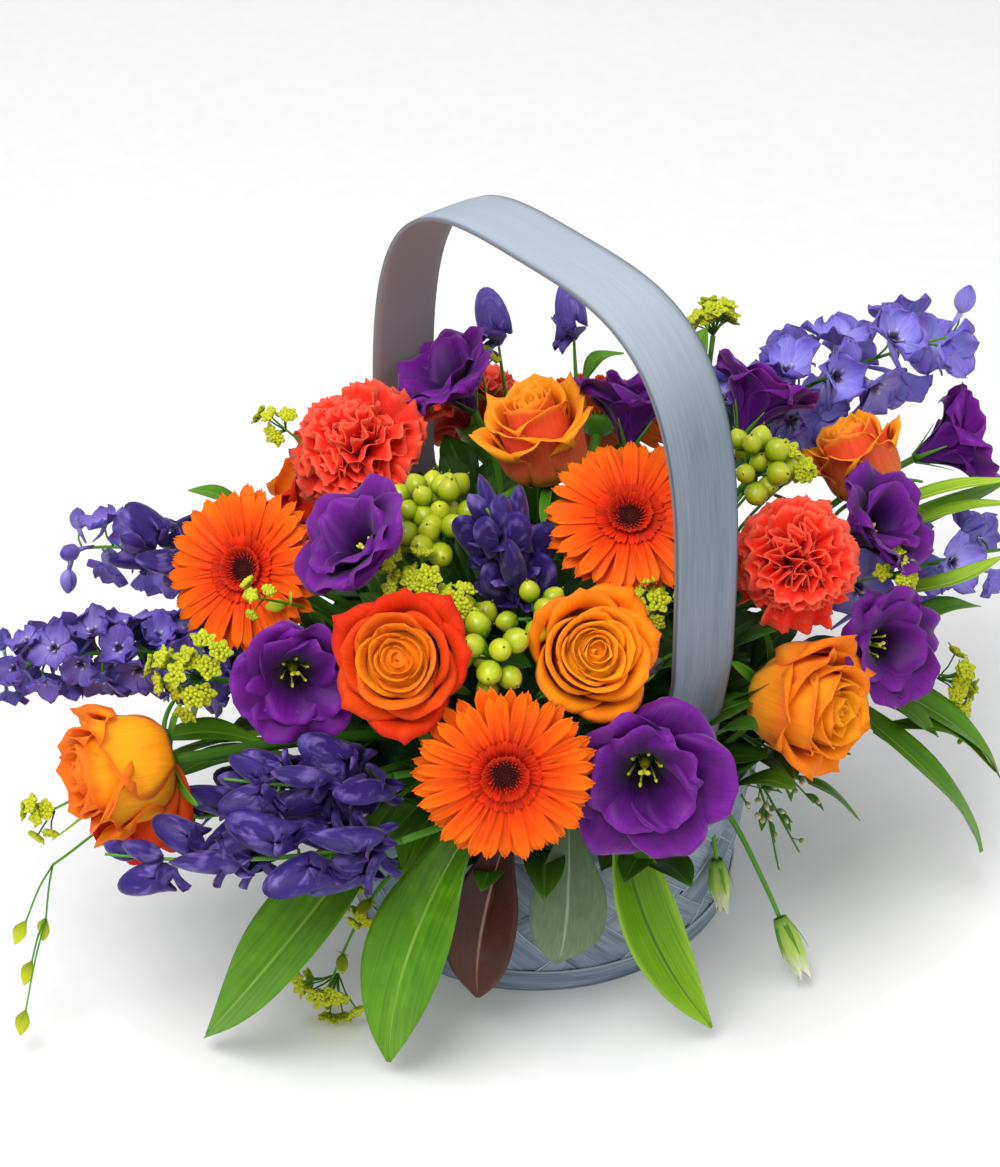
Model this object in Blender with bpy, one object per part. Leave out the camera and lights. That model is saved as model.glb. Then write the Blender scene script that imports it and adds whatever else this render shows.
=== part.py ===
"""A flower basket: a woven chip-wood basket with a hoop handle, a plastic liner, wet floral foam,
and cut flowers and leaves pushed into the foam. Metres, +Z up.

The frame: the origin is the centre of the base's underside, +Z is up, the handle's hoop stands in the
YZ plane, and the arrangement is longest along X.
"""

import math

import bmesh
import bpy
from mathutils import Vector

# Basket: an oval foot, longer in X. The wall leans out, mostly at the two sides that the handle spreads.
BASE_X = 0.103
BASE_Y = 0.098
LEAN_X = 0.004  # how much further out each side is at the rim
LEAN_Y = 0.022
WALL_TOP = 0.112
WALL_THICK = 0.0024
FLOOR_THICK = 0.004
BAND_THICK = 0.0018
BASE_BAND_TALL = 0.0137
RIM_BAND_TALL = 0.018
GAP = 0.0003  # what touching pieces keep between them
ROUND_STEPS = 48
SHARP_ANGLE = math.radians(40)  # edges that turn more than this stay sharp when shaded

# Handle: one flat strip, bent to a hoop whose legs go down inside the wall.
HANDLE_WIDE = 0.038
HANDLE_THICK = 0.0028
HANDLE_TOP = 0.380
HANDLE_WIDEST_Z = 0.2015
HANDLE_HALF_SPAN = 0.1206
HANDLE_SQUARENESS = 3.54  # the exponent of the hoop's rounded top
HANDLE_FOOT_Z = 0.020
HANDLE_WALL_SPACE = 0.0024  # a flat strip's edges reach the curved wall before its middle does

# Nails that hold the handle to the wall.
NAIL_RADIUS = 0.0010
NAIL_HEAD_RADIUS = 0.0028
NAIL_HEAD_THICK = 0.0010
NAIL_SIDES = 12

# Liner and foam.
LINER_THICK = 0.0010
LINER_SPACE = 0.0064  # between the wall's inner face and the liner
LINER_TOP = 0.107
FOAM_SPACE = 0.0010
# The cut dome of the foam: how far in from its side, and the height there.
FOAM_DOME = ((0.0, 0.104), (0.010, 0.124), (0.030, 0.140), (0.060, 0.147))
HEART = Vector((0.0, 0.0, 0.085))  # the stems point at this place inside the foam
ROOT_DEPTH = 0.046  # how far from the heart each stem's cut end lies
STEM_PITCH = math.radians(24)  # the least slope at which a stem leaves the foam, to clear the rim
LEAF_PITCH = math.radians(17)  # leaves pass closer over the rim
LEAVE_SHARE = 0.45  # how far a stem keeps its first direction, as a share of its reach
ARRIVE_SHARE = 0.3  # how far it takes to turn into the direction of its head
STEM_SWELL = 0.02  # how much thicker a stem is at each ring up
HEAD_MIDDLE = 0.6  # a flower's place is this far up its head

STEM_SIDES = 8
STEM_STEPS = 4

COLOURS = {  # base colour, roughness
    "painted_wood": ((0.30, 0.35, 0.41), 0.6),
    "liner": ((0.05, 0.05, 0.05), 0.4),
    "foam": ((0.05, 0.20, 0.08), 0.9),
    "steel": ((0.55, 0.55, 0.56), 0.35),
    "orange": ((0.95, 0.23, 0.01), 0.5),
    "apricot": ((0.95, 0.35, 0.05), 0.5),
    "red": ((0.80, 0.05, 0.02), 0.5),
    "coral": ((0.85, 0.10, 0.06), 0.5),
    "purple": ((0.16, 0.01, 0.27), 0.5),
    "blue": ((0.13, 0.09, 0.48), 0.5),
    "lilac": ((0.30, 0.26, 0.70), 0.5),
    "berry": ((0.42, 0.50, 0.05), 0.3),
    "lime": ((0.65, 0.70, 0.05), 0.5),
    "leaf": ((0.10, 0.30, 0.02), 0.4),
    "bronze": ((0.10, 0.04, 0.01), 0.4),
    "grey_leaf": ((0.15, 0.20, 0.10), 0.5),
}

# Flower heads, as turned outlines: (distance along the axis, radius), both in head radii.
HEAD_OUTLINES = {
    "gerbera": ((0.00, 0.16), (0.14, 0.26), (0.26, 0.97), (0.36, 1.00)),
    "rose": ((0.00, 0.25), (0.35, 0.72), (0.95, 1.00), (1.50, 0.78)),
    "carnation": ((0.00, 0.20), (0.50, 0.30), (0.80, 0.92), (1.20, 0.95), (1.45, 0.55)),
    "lisianthus": ((0.00, 0.15), (0.35, 0.48), (0.85, 0.86), (1.25, 1.00)),
    "cluster": ((0.00, 0.20), (0.50, 0.85), (1.10, 1.00), (1.70, 0.60)),
}

# One row for each flower on a single stem: kind, colour, the middle of its head in millimetres,
# the way it faces (heading from +X towards +Y, and pitch above the horizon, in degrees), head radius
# and stem radius in millimetres.
FLOWERS = {
    "gerbera_front": ("gerbera", "orange", (-112, -108, 184), (-125, 15), 45, 2.6),
    "gerbera_left": ("gerbera", "orange", (-144, 56, 225), (-157, 36), 43, 2.6),
    "gerbera_right": ("gerbera", "orange", (1, -62, 257), (-130, 62), 43, 2.6),
    "gerbera_rear": ("gerbera", "orange", (118, 100, 190), (45, 25), 42, 2.6),
    "rose_top": ("rose", "apricot", (4, 12, 269), (142, 76), 32, 2.8),
    "rose_red": ("rose", "red", (-134, -58, 230), (-136, 40), 30, 2.8),
    "rose_middle": ("rose", "apricot", (-53, -99, 222), (-118, 38), 29, 2.8),
    "rose_left": ("rose", "apricot", (-239, 33, 161), (165, 6), 32, 2.8),
    "rose_right": ("rose", "apricot", (61, -134, 159), (-78, 8), 32, 2.8),
    "rose_behind": ("rose", "apricot", (166, -50, 222), (110, 60), 27, 2.8),
    "rose_rear": ("rose", "red", (-47, 134, 190), (102, 28), 29, 2.8),
    "carnation_left": ("carnation", "coral", (-54, 86, 246), (170, 60), 36, 2.2),
    "carnation_right": ("carnation", "coral", (78, -100, 219), (-112, 40), 33, 2.2),
    "carnation_rear": ("carnation", "coral", (52, 132, 205), (80, 35), 34, 2.2),
    "lisianthus_high_left": ("lisianthus", "purple", (4, 82, 265), (140, 58), 27, 1.8),
    "lisianthus_high": ("lisianthus", "purple", (53, -2, 270), (40, 62), 28, 1.8),
    "lisianthus_centre": ("lisianthus", "purple", (-114, 0, 256), (168, 48), 28, 1.8),
    "lisianthus_left": ("lisianthus", "purple", (-163, -13, 210), (-118, 22), 28, 1.8),
    "lisianthus_front": ("lisianthus", "purple", (-50, -136, 171), (-132, 18), 34, 1.8),
    "lisianthus_mid_right": ("lisianthus", "purple", (128, -14, 252), (10, 50), 27, 1.8),
    "lisianthus_far_right": ("lisianthus", "purple", (249, -40, 192), (-25, 18), 28, 1.8),
    "lisianthus_right": ("lisianthus", "purple", (142, -90, 209), (-60, 42), 28, 1.8),
    "lisianthus_low_right": ("lisianthus", "purple", (118, -125, 165), (-88, 24), 27, 1.8),
    "lisianthus_rear": ("lisianthus", "purple", (186, 52, 176), (20, 24), 29, 1.8),
    "hypericum_centre": ("cluster", "berry", (-69, 0, 256), (-150, 60), 20, 1.6),
    "hypericum_front": ("cluster", "berry", (-96, -77, 229), (-130, 50), 14, 1.6),
    "hypericum_right": ("cluster", "berry", (92, -56, 250), (-90, 60), 17, 1.6),
    "bupleurum_left": ("cluster", "lime", (-202, 25, 205), (-160, 35), 17, 1.3),
    "bupleurum_rear": ("cluster", "lime", (36, 164, 152), (80, 26), 17, 1.3),
    "bupleurum_high": ("cluster", "lime", (154, 51, 267), (60, 70), 13, 1.3),
}

# Spikes of florets: colour, where the florets begin, a point on the way, the tip (millimetres),
# the spike's radius and its stem's radius in millimetres.
SPIKES = {
    "monkshood_centre": ("blue", (-40, -28, 205), (-50, -32, 240), (-66, -36, 276), 22, 2.0),
    "monkshood_tall_left": ("blue", (38, 75, 225), (43, 92, 262), (45, 100, 303), 12, 1.8),
    "monkshood_tall_right": ("blue", (72, 62, 232), (80, 76, 262), (84, 82, 298), 13, 1.8),
    "monkshood_left": ("blue", (-108, 82, 192), (-143, 106, 204), (-178, 116, 222), 15, 2.0),
    "monkshood_low_inner": ("blue", (-135, -50, 158), (-176, -42, 168), (-208, -16, 171), 13, 2.0),
    "monkshood_low_front": ("blue", (-148, -74, 140), (-212, -42, 141), (-263, 6, 139), 15, 2.0),
    "monkshood_low_outer": ("blue", (-128, -8, 126), (-178, 8, 122), (-226, 46, 116), 13, 2.0),
    "delphinium_left": ("lilac", (-150, 60, 165), (-215, 85, 190), (-290, 120, 178), 24, 2.4),
    "delphinium_behind": ("lilac", (130, 10, 215), (185, 0, 236), (275, -15, 240), 22, 2.4),
    "delphinium_right": ("lilac", (140, -70, 150), (200, -85, 160), (285, -95, 140), 22, 2.4),
    "delphinium_rear": ("lilac", (-85, 95, 160), (-130, 150, 178), (-165, 195, 172), 21, 2.4),
}

# Leaves: colour, a point over the rim, a point on the way down, the tip (millimetres), half width.
LEAVES = {
    "leaf_front_left": ("leaf", (-119, -33, 127), (-188, -42, 84), (-224, -8, 10), 21),
    "leaf_front": ("leaf", (-104, -74, 130), (-150, -82, 78), (-163, -80, 10), 21),
    "leaf_front_bronze": ("bronze", (-92, -86, 128), (-112, -90, 76), (-106, -79, 20), 18),
    "leaf_front_grey": ("grey_leaf", (-66, -100, 128), (-76, -112, 84), (-78, -108, 48), 19),
    "leaf_lily": ("leaf", (-38, -106, 130), (-42, -132, 72), (-20, -160, 9), 15),
    "leaf_right_low": ("leaf", (106, -79, 128), (134, -150, 90), (166, -164, 30), 12),
    "leaf_right_high": ("leaf", (114, -66, 129), (160, -126, 104), (182, -158, 68), 12),
    "leaf_far_right": ("leaf", (124, -30, 140), (212, -46, 156), (298, -42, 150), 9),
    "leaf_rear_left": ("leaf", (-60, 102, 134), (-92, 140, 122), (-112, 172, 40), 19),
    "leaf_rear_right": ("leaf", (76, 96, 134), (112, 128, 120), (142, 152, 36), 19),
}


def millimetres(values):
    return Vector(values) / 1000.0


def material_named(name):
    if name in bpy.data.materials:
        return bpy.data.materials[name]
    colour, roughness = COLOURS[name]
    material = bpy.data.materials.new(name)
    material.use_nodes = True
    shader = material.node_tree.nodes["Principled BSDF"]
    shader.inputs["Base Color"].default_value = (*colour, 1.0)
    shader.inputs["Roughness"].default_value = roughness
    shader.inputs["Metallic"].default_value = 1.0 if name == "steel" else 0.0
    return material


def add_object(name, material, build):
    """One object from a function that fills a bmesh."""
    shape = bmesh.new()
    build(shape)
    bmesh.ops.recalc_face_normals(shape, faces=shape.faces)
    mesh = bpy.data.meshes.new(name)
    shape.to_mesh(mesh)
    shape.free()
    mesh.shade_smooth()
    mesh.set_sharp_from_angle(angle=SHARP_ANGLE)
    mesh.materials.append(material_named(material))
    thing = bpy.data.objects.new(name, mesh)
    bpy.context.scene.collection.objects.link(thing)
    return thing


def ring_faces(shape, rings, closed_loop=False):
    """Joins each ring of vertices to the next."""
    pairs = list(zip(rings, rings[1:]))
    if closed_loop:
        pairs.append((rings[-1], rings[0]))
    for low, high in pairs:
        for i in range(len(low)):
            j = (i + 1) % len(low)
            shape.faces.new((low[i], low[j], high[j], high[i]))


# ---- Basket ----


def half_x(z):
    """Half the wall's outer size along X at height z."""
    return BASE_X + LEAN_X * z / WALL_TOP


def half_y(z):
    return BASE_Y + LEAN_Y * z / WALL_TOP


def oval_ring(shape, inset, z):
    """A ring of vertices on the wall's outer oval at height z, moved in by inset."""
    wide, deep = half_x(z) - inset, half_y(z) - inset
    turn = 2 * math.pi / ROUND_STEPS
    return [
        shape.verts.new((wide * math.cos(i * turn), deep * math.sin(i * turn), z))
        for i in range(ROUND_STEPS)
    ]


def oval_tube(name, material, outline):
    """A closed outline of (inset, z) points, carried round the oval."""

    def build(shape):
        rings = [oval_ring(shape, inset, z) for inset, z in outline]
        ring_faces(shape, rings, closed_loop=True)

    return add_object(name, material, build)


def oval_solid(name, material, outline):
    """An open outline of (inset, z) points from one flat end to the other, carried round the oval."""

    def build(shape):
        rings = [oval_ring(shape, inset, z) for inset, z in outline]
        ring_faces(shape, rings)
        shape.faces.new(rings[0][::-1])
        shape.faces.new(rings[-1])

    return add_object(name, material, build)


def band(name, low, high):
    """A flat strip round the outside of the wall."""
    near = -GAP
    far = near - BAND_THICK
    return oval_tube(name, "painted_wood", ((near, low), (far, low), (far, high), (near, high)))


def make_basket():
    """The wall, its floor, its two bands and the liner. The wall and the rim band take the nails."""
    wall = oval_tube(
        "basket_wall",
        "painted_wood",
        ((0.0, 0.0), (0.0, WALL_TOP), (WALL_THICK, WALL_TOP), (WALL_THICK, 0.0)),
    )
    band("base_band", 0.0, BASE_BAND_TALL)
    rim_band = band("rim_band", WALL_TOP - RIM_BAND_TALL, WALL_TOP)
    floor_inset = WALL_THICK + GAP
    oval_solid(
        "basket_floor", "painted_wood", ((floor_inset, 0.0), (floor_inset, FLOOR_THICK))
    )
    liner_low = FLOOR_THICK + GAP
    liner_out = WALL_THICK + LINER_SPACE
    liner_in = liner_out + LINER_THICK
    oval_solid(
        "liner",
        "liner",
        (
            (liner_out, liner_low),
            (liner_out, LINER_TOP),
            (liner_in, LINER_TOP),
            (liner_in, liner_low + LINER_THICK),
        ),
    )
    return wall, rim_band


def leg_y(z):
    """The outer face of a leg, where it stands inside the wall."""
    return half_y(z) - WALL_THICK - HANDLE_WALL_SPACE


def handle_line():
    """Points (y, z) on the handle's outer face, from one foot to the other."""
    leg = [(leg_y(z), z) for z in (HANDLE_FOOT_Z, 0.062, WALL_TOP)]
    rim_y, rise = leg_y(WALL_TOP), HANDLE_WIDEST_Z - WALL_TOP
    for share in (0.25, 0.5, 0.75):  # from the wall's lean to upright
        bulge = HANDLE_HALF_SPAN - rim_y
        leg.append((rim_y + bulge * (1 - (1 - share) ** 4), WALL_TOP + share * rise))
    arch = []
    steps = 20
    for i in range(steps + 1):
        angle = math.pi * i / steps
        power = 2 / HANDLE_SQUARENESS
        y = HANDLE_HALF_SPAN * math.copysign(abs(math.cos(angle)) ** power, math.cos(angle))
        z = HANDLE_WIDEST_Z + (HANDLE_TOP - HANDLE_WIDEST_Z) * math.sin(angle) ** power
        arch.append((y, z))
    return leg + arch + [(-y, z) for y, z in reversed(leg)]


def make_handle():
    def build(shape):
        line = [Vector((0.0, y, z)) for y, z in handle_line()]
        half = HANDLE_WIDE / 2
        rings = []
        for i, point in enumerate(line):
            along = (line[min(i + 1, len(line) - 1)] - line[max(i - 1, 0)]).normalized()
            inward = Vector((0.0, -along.z, along.y)) * HANDLE_THICK
            corners = (
                point + Vector((-half, 0, 0)),
                point + Vector((half, 0, 0)),
                point + inward + Vector((half, 0, 0)),
                point + inward + Vector((-half, 0, 0)),
            )
            rings.append([shape.verts.new(corner) for corner in corners])
        ring_faces(shape, rings)
        shape.faces.new(rings[0][::-1])
        shape.faces.new(rings[-1])

    return add_object("handle", "painted_wood", build)


def turned(shape, start, axis, outline, sides):
    """A solid turned round axis, from (distance, radius) points, with flat ends."""
    across = axis.orthogonal().normalized()
    other = axis.cross(across).normalized()
    rings = []
    for distance, radius in outline:
        ring = []
        for i in range(sides):
            angle = 2 * math.pi * i / sides
            out = across * math.cos(angle) + other * math.sin(angle)
            ring.append(shape.verts.new(start + axis * distance + out * radius))
        rings.append(ring)
    ring_faces(shape, rings)
    shape.faces.new(rings[0][::-1])
    shape.faces.new(rings[-1])


def cut(target, cutter):
    modifier = target.modifiers.new(cutter.name, "BOOLEAN")
    modifier.object = cutter
    modifier.operation = "DIFFERENCE"
    modifier.solver = "EXACT"


def hide_cutter(thing):
    thing.hide_render = True
    thing.display_type = "WIRE"


def make_nails(walls):
    """A nail through the rim band, the wall and each leg of the handle."""
    z = WALL_TOP - RIM_BAND_TALL / 2
    outer_y = half_y(z + NAIL_HEAD_RADIUS) + 2 * GAP + BAND_THICK
    inner_y = leg_y(z) - HANDLE_THICK
    length = outer_y - inner_y
    for name, side in (("nail_front", -1), ("nail_back", 1)):
        start = Vector((0.0, side * (inner_y - GAP), z))
        axis = Vector((0.0, side, 0.0))
        end = length + GAP
        outline = (
            (0.0, NAIL_RADIUS),
            (end, NAIL_RADIUS),
            (end, NAIL_HEAD_RADIUS),
            (end + NAIL_HEAD_THICK, NAIL_HEAD_RADIUS * 0.8),
        )
        add_object(name, "steel", lambda shape: turned(shape, start, axis, outline, NAIL_SIDES))
        hole = ((-0.004, NAIL_RADIUS + GAP), (end + 0.004, NAIL_RADIUS + GAP))
        cutter = add_object(
            name + "_hole", "steel", lambda shape: turned(shape, start, axis, hole, NAIL_SIDES)
        )
        hide_cutter(cutter)
        for wall in walls:
            cut(wall, cutter)


def make_foam():
    """Wet foam that fills the liner and stands above the rim in a rough dome."""
    inset = WALL_THICK + LINER_SPACE + LINER_THICK + FOAM_SPACE
    low = FLOOR_THICK + LINER_THICK + 2 * GAP
    outline = [(inset, low)]
    outline += [(inset + inward, height) for inward, height in FOAM_DOME]
    return oval_solid("foam", "foam", outline)


# ---- Cut stems ----


def curve_points(first, second, third, fourth, steps):
    """Points along a cubic curve, both ends included."""
    found = []
    for i in range(steps + 1):
        t = i / steps
        s = 1 - t
        found.append(
            first * s**3 + second * 3 * s * s * t + third * 3 * s * t * t + fourth * t**3
        )
    return found


def loft_rings(shape, centres, radii, sides):
    """Round rings along a line of centres, turned from one to the next without twist."""
    across = None
    rings = []
    for i, centre in enumerate(centres):
        along = (centres[min(i + 1, len(centres) - 1)] - centres[max(i - 1, 0)]).normalized()
        if across is None:
            across = along.orthogonal().normalized()
        across = (across - along * across.dot(along)).normalized()
        other = along.cross(across)
        ring = []
        for k in range(sides):
            angle = 2 * math.pi * k / sides
            out = across * math.cos(angle) + other * math.sin(angle)
            ring.append(shape.verts.new(centre + out * radii[i]))
        rings.append(ring)
    return rings


def add_stalk(name, material, centres, radii):
    """A closed solid of round rings: the stem and what it carries, in one piece."""

    def build(shape):
        rings = loft_rings(shape, centres, radii, STEM_SIDES)
        ring_faces(shape, rings)
        shape.faces.new(rings[0][::-1])
        shape.faces.new(rings[-1])

    return add_object(name, material, build)


def add_stem_hole(foam, name, centres, radius):
    """The hole that a stem makes in the foam, a little wider and deeper than the stem."""
    back = (centres[0] - centres[1]).normalized() * 2 * GAP
    line = [centres[0] + back] + centres
    cutter = add_stalk(name + "_hole", "foam", line, [radius + GAP] * len(line))
    hide_cutter(cutter)
    cut(foam, cutter)


def stem_start(towards, least_pitch):
    """The cut end of a stem inside the foam, and the way the stem leaves it."""
    way = towards - HEART
    way.z = max(way.z, math.tan(least_pitch) * math.hypot(way.x, way.y))
    way.normalize()
    return HEART + way * ROOT_DEPTH, way


def make_flower(foam, name, kind, colour, place, facing, head_radius, stem_radius):
    heading, pitch = (math.radians(angle) for angle in facing)
    axis = Vector(
        (
            math.cos(heading) * math.cos(pitch),
            math.sin(heading) * math.cos(pitch),
            math.sin(pitch),
        )
    )
    head, stem = head_radius / 1000.0, stem_radius / 1000.0
    outline = HEAD_OUTLINES[kind]
    middle = outline[-1][0] * head * HEAD_MIDDLE
    back = millimetres(place) - axis * middle
    start, way = stem_start(millimetres(place), STEM_PITCH)
    reach = (back - start).length
    leave, arrive = reach * LEAVE_SHARE, reach * ARRIVE_SHARE
    centres = curve_points(start, start + way * leave, back - axis * arrive, back, STEM_STEPS)
    radii = [stem * (1 + STEM_SWELL * i) for i in range(len(centres))]
    add_stem_hole(foam, name, centres, radii[-1])
    for distance, radius in outline[1:]:
        centres.append(back + axis * distance * head)
        radii.append(radius * head)
    add_stalk(name, colour, centres, radii)


SPIKE_OUTLINE = ((0.12, 0.75), (0.4, 1.0), (0.7, 0.8), (1.0, 0.3))  # shares of length and radius
SPIKE_STEM_STEPS = 3


def make_spike(foam, name, colour, first, via, tip, spike_radius, stem_radius):
    first, via, tip = millimetres(first), millimetres(via), millimetres(tip)
    stem, thick = stem_radius / 1000.0, spike_radius / 1000.0
    start, way = stem_start(first, STEM_PITCH)
    reach = (first - start).length
    into = (via - first).normalized()
    leave, arrive = start + way * reach * LEAVE_SHARE, first - into * reach * ARRIVE_SHARE
    centres = curve_points(start, leave, arrive, first, SPIKE_STEM_STEPS)
    radii = [stem * (1 + STEM_SWELL * i) for i in range(len(centres))]
    add_stem_hole(foam, name, centres, radii[-1])
    bend = via * 2 - (first + tip) / 2  # a curve through the point on the way
    for share, width in SPIKE_OUTLINE:
        centres.append(first * (1 - share) ** 2 + bend * 2 * share * (1 - share) + tip * share**2)
        radii.append(thick * width)
    add_stalk(name, colour, centres, radii)


LEAF_THICK = 0.0016
LEAF_STALK_STEPS = 2
LEAF_HOLE = 0.0030  # the radius of a leaf stalk's hole in the foam
LEAF_WIDTHS = (0.12, 0.12, 0.14, 0.55, 0.92, 1.0, 0.82, 0.48, 0.10)  # shares of the half width


def blade_faces(shape, rings):
    """Joins a leaf's rings of edge, top, edge and underside with triangles that match above and below."""
    for low, high in zip(rings, rings[1:]):
        for i in range(4):
            j = (i + 1) % 4
            if i % 2 == 0:
                edge, first, across, last = low[i], low[j], high[j], high[i]
            else:
                edge, first, across, last = low[j], high[j], high[i], low[i]
            shape.faces.new((edge, first, across))
            shape.faces.new((edge, across, last))


def make_leaf(foam, name, colour, over, via, tip, half_width):
    over, via, tip = millimetres(over), millimetres(via), millimetres(tip)
    start, way = stem_start(over, LEAF_PITCH)
    reach = (over - start).length
    into = (via - over).normalized()
    leave, arrive = start + way * reach * LEAVE_SHARE, over - into * reach * ARRIVE_SHARE
    centres = curve_points(start, leave, arrive, over, LEAF_STALK_STEPS)
    add_stem_hole(foam, name, centres, LEAF_HOLE)
    bend = via * 2 - (over + tip) / 2
    blade_steps = len(LEAF_WIDTHS) - len(centres)
    for i in range(1, blade_steps + 1):
        share = i / blade_steps
        centres.append(over * (1 - share) ** 2 + bend * 2 * share * (1 - share) + tip * share**2)
    half = half_width / 1000.0

    def build(shape):
        rings = []
        for i, centre in enumerate(centres):
            along = (centres[min(i + 1, len(centres) - 1)] - centres[max(i - 1, 0)]).normalized()
            side = along.cross(Vector((0, 0, 1))).normalized()
            upper = side.cross(along)
            wide, thick = half * LEAF_WIDTHS[i], LEAF_THICK / 2
            corners = (side * wide, upper * thick, -side * wide, -upper * thick)
            rings.append([shape.verts.new(centre + corner) for corner in corners])
        blade_faces(shape, rings)
        shape.faces.new(rings[0][::-1])
        shape.faces.new(rings[-1])

    add_object(name, colour, build)


def main():
    for thing in list(bpy.data.objects):
        bpy.data.objects.remove(thing)
    wall, rim_band = make_basket()
    handle = make_handle()
    make_nails((rim_band, wall, handle))
    foam = make_foam()
    for name, row in FLOWERS.items():
        make_flower(foam, name, *row)
    for name, row in SPIKES.items():
        make_spike(foam, name, *row)
    for name, row in LEAVES.items():
        make_leaf(foam, name, *row)


main()
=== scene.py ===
# Looks of a florist's hand-tied arrangement in a washed chip basket: every bloom, leaf and strip is
# built as thin closed shells on the stems, heads and hoops that the fixed frame gives.
import math

import bpy
import numpy as np
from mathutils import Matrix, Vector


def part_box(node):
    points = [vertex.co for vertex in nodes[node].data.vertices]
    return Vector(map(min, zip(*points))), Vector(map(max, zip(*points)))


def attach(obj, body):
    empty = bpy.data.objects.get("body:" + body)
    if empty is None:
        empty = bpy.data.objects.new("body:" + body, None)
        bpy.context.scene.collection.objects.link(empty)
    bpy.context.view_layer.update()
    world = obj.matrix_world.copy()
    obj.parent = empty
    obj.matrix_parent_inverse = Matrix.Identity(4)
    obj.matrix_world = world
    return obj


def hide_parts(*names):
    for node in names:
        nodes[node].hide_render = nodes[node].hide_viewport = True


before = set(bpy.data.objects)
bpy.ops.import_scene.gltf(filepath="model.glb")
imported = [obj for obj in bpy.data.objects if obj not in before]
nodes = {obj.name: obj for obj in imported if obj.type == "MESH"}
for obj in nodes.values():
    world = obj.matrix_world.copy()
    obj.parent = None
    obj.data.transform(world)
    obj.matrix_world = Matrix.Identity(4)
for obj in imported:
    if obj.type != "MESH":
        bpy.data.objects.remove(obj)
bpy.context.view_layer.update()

mm = 0.001
quadCache = {}  # face tables by their row and column counts
foamLow, foamHigh = (np.array(corner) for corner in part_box("foam"))
heart = (foamLow + foamHigh) / 2 * (1, 1, 0) + (0, 0, 85 * mm)  # the place that all the stems point at
floorLow, floorHigh = (np.array(corner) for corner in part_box("basket_floor"))
basketFoot = (floorLow + floorHigh) / 2 * (1, 1, 0)
goldenTurn, fifthTurn = 2.39996, 1.2566  # radians from one floret to the next, and between five sepals


def shellQuads(rows, columns):  # faces of a thin closed sheet: upper side, underside and rim
    key = ("shell", rows, columns)
    if key not in quadCache:
        at = np.arange(rows * columns).reshape(rows, columns)
        under = rows * columns
        upper = np.stack([at[:-1, :-1], at[1:, :-1], at[1:, 1:], at[:-1, 1:]], -1).reshape(-1, 4)
        loop = np.concatenate([at[:, 0], at[-1, 1:], at[-2::-1, -1], at[0, -2:0:-1]])
        ahead = np.roll(loop, -1)
        rim = np.stack([ahead, loop, loop + under, ahead + under], -1)
        quadCache[key] = np.concatenate([upper, upper[:, ::-1] + under, rim])
    return quadCache[key]


def tubeQuads(rings, sides):  # faces of a closed round bar, whose end caps are strips of quads
    key = ("tube", rings, sides)
    if key not in quadCache:
        at = np.arange(rings * sides).reshape(rings, sides)
        turned = np.roll(at, -1, 1)
        wall = np.stack([at[:-1], turned[:-1], turned[1:], at[1:]], -1).reshape(-1, 4)
        i = np.arange(sides // 2 - 1)
        cap = np.stack([i, i + 1, sides - 2 - i, sides - 1 - i], -1)
        quadCache[key] = np.concatenate([wall, cap[:, ::-1], cap + (rings - 1) * sides])
    return quadCache[key]


def smooth(x):
    x = np.clip(x, 0, 1)
    return x * x * (3 - 2 * x)


def unit(way):
    way = np.asarray(way, float)
    return way / max(np.linalg.norm(way), 1e-12)


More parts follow.
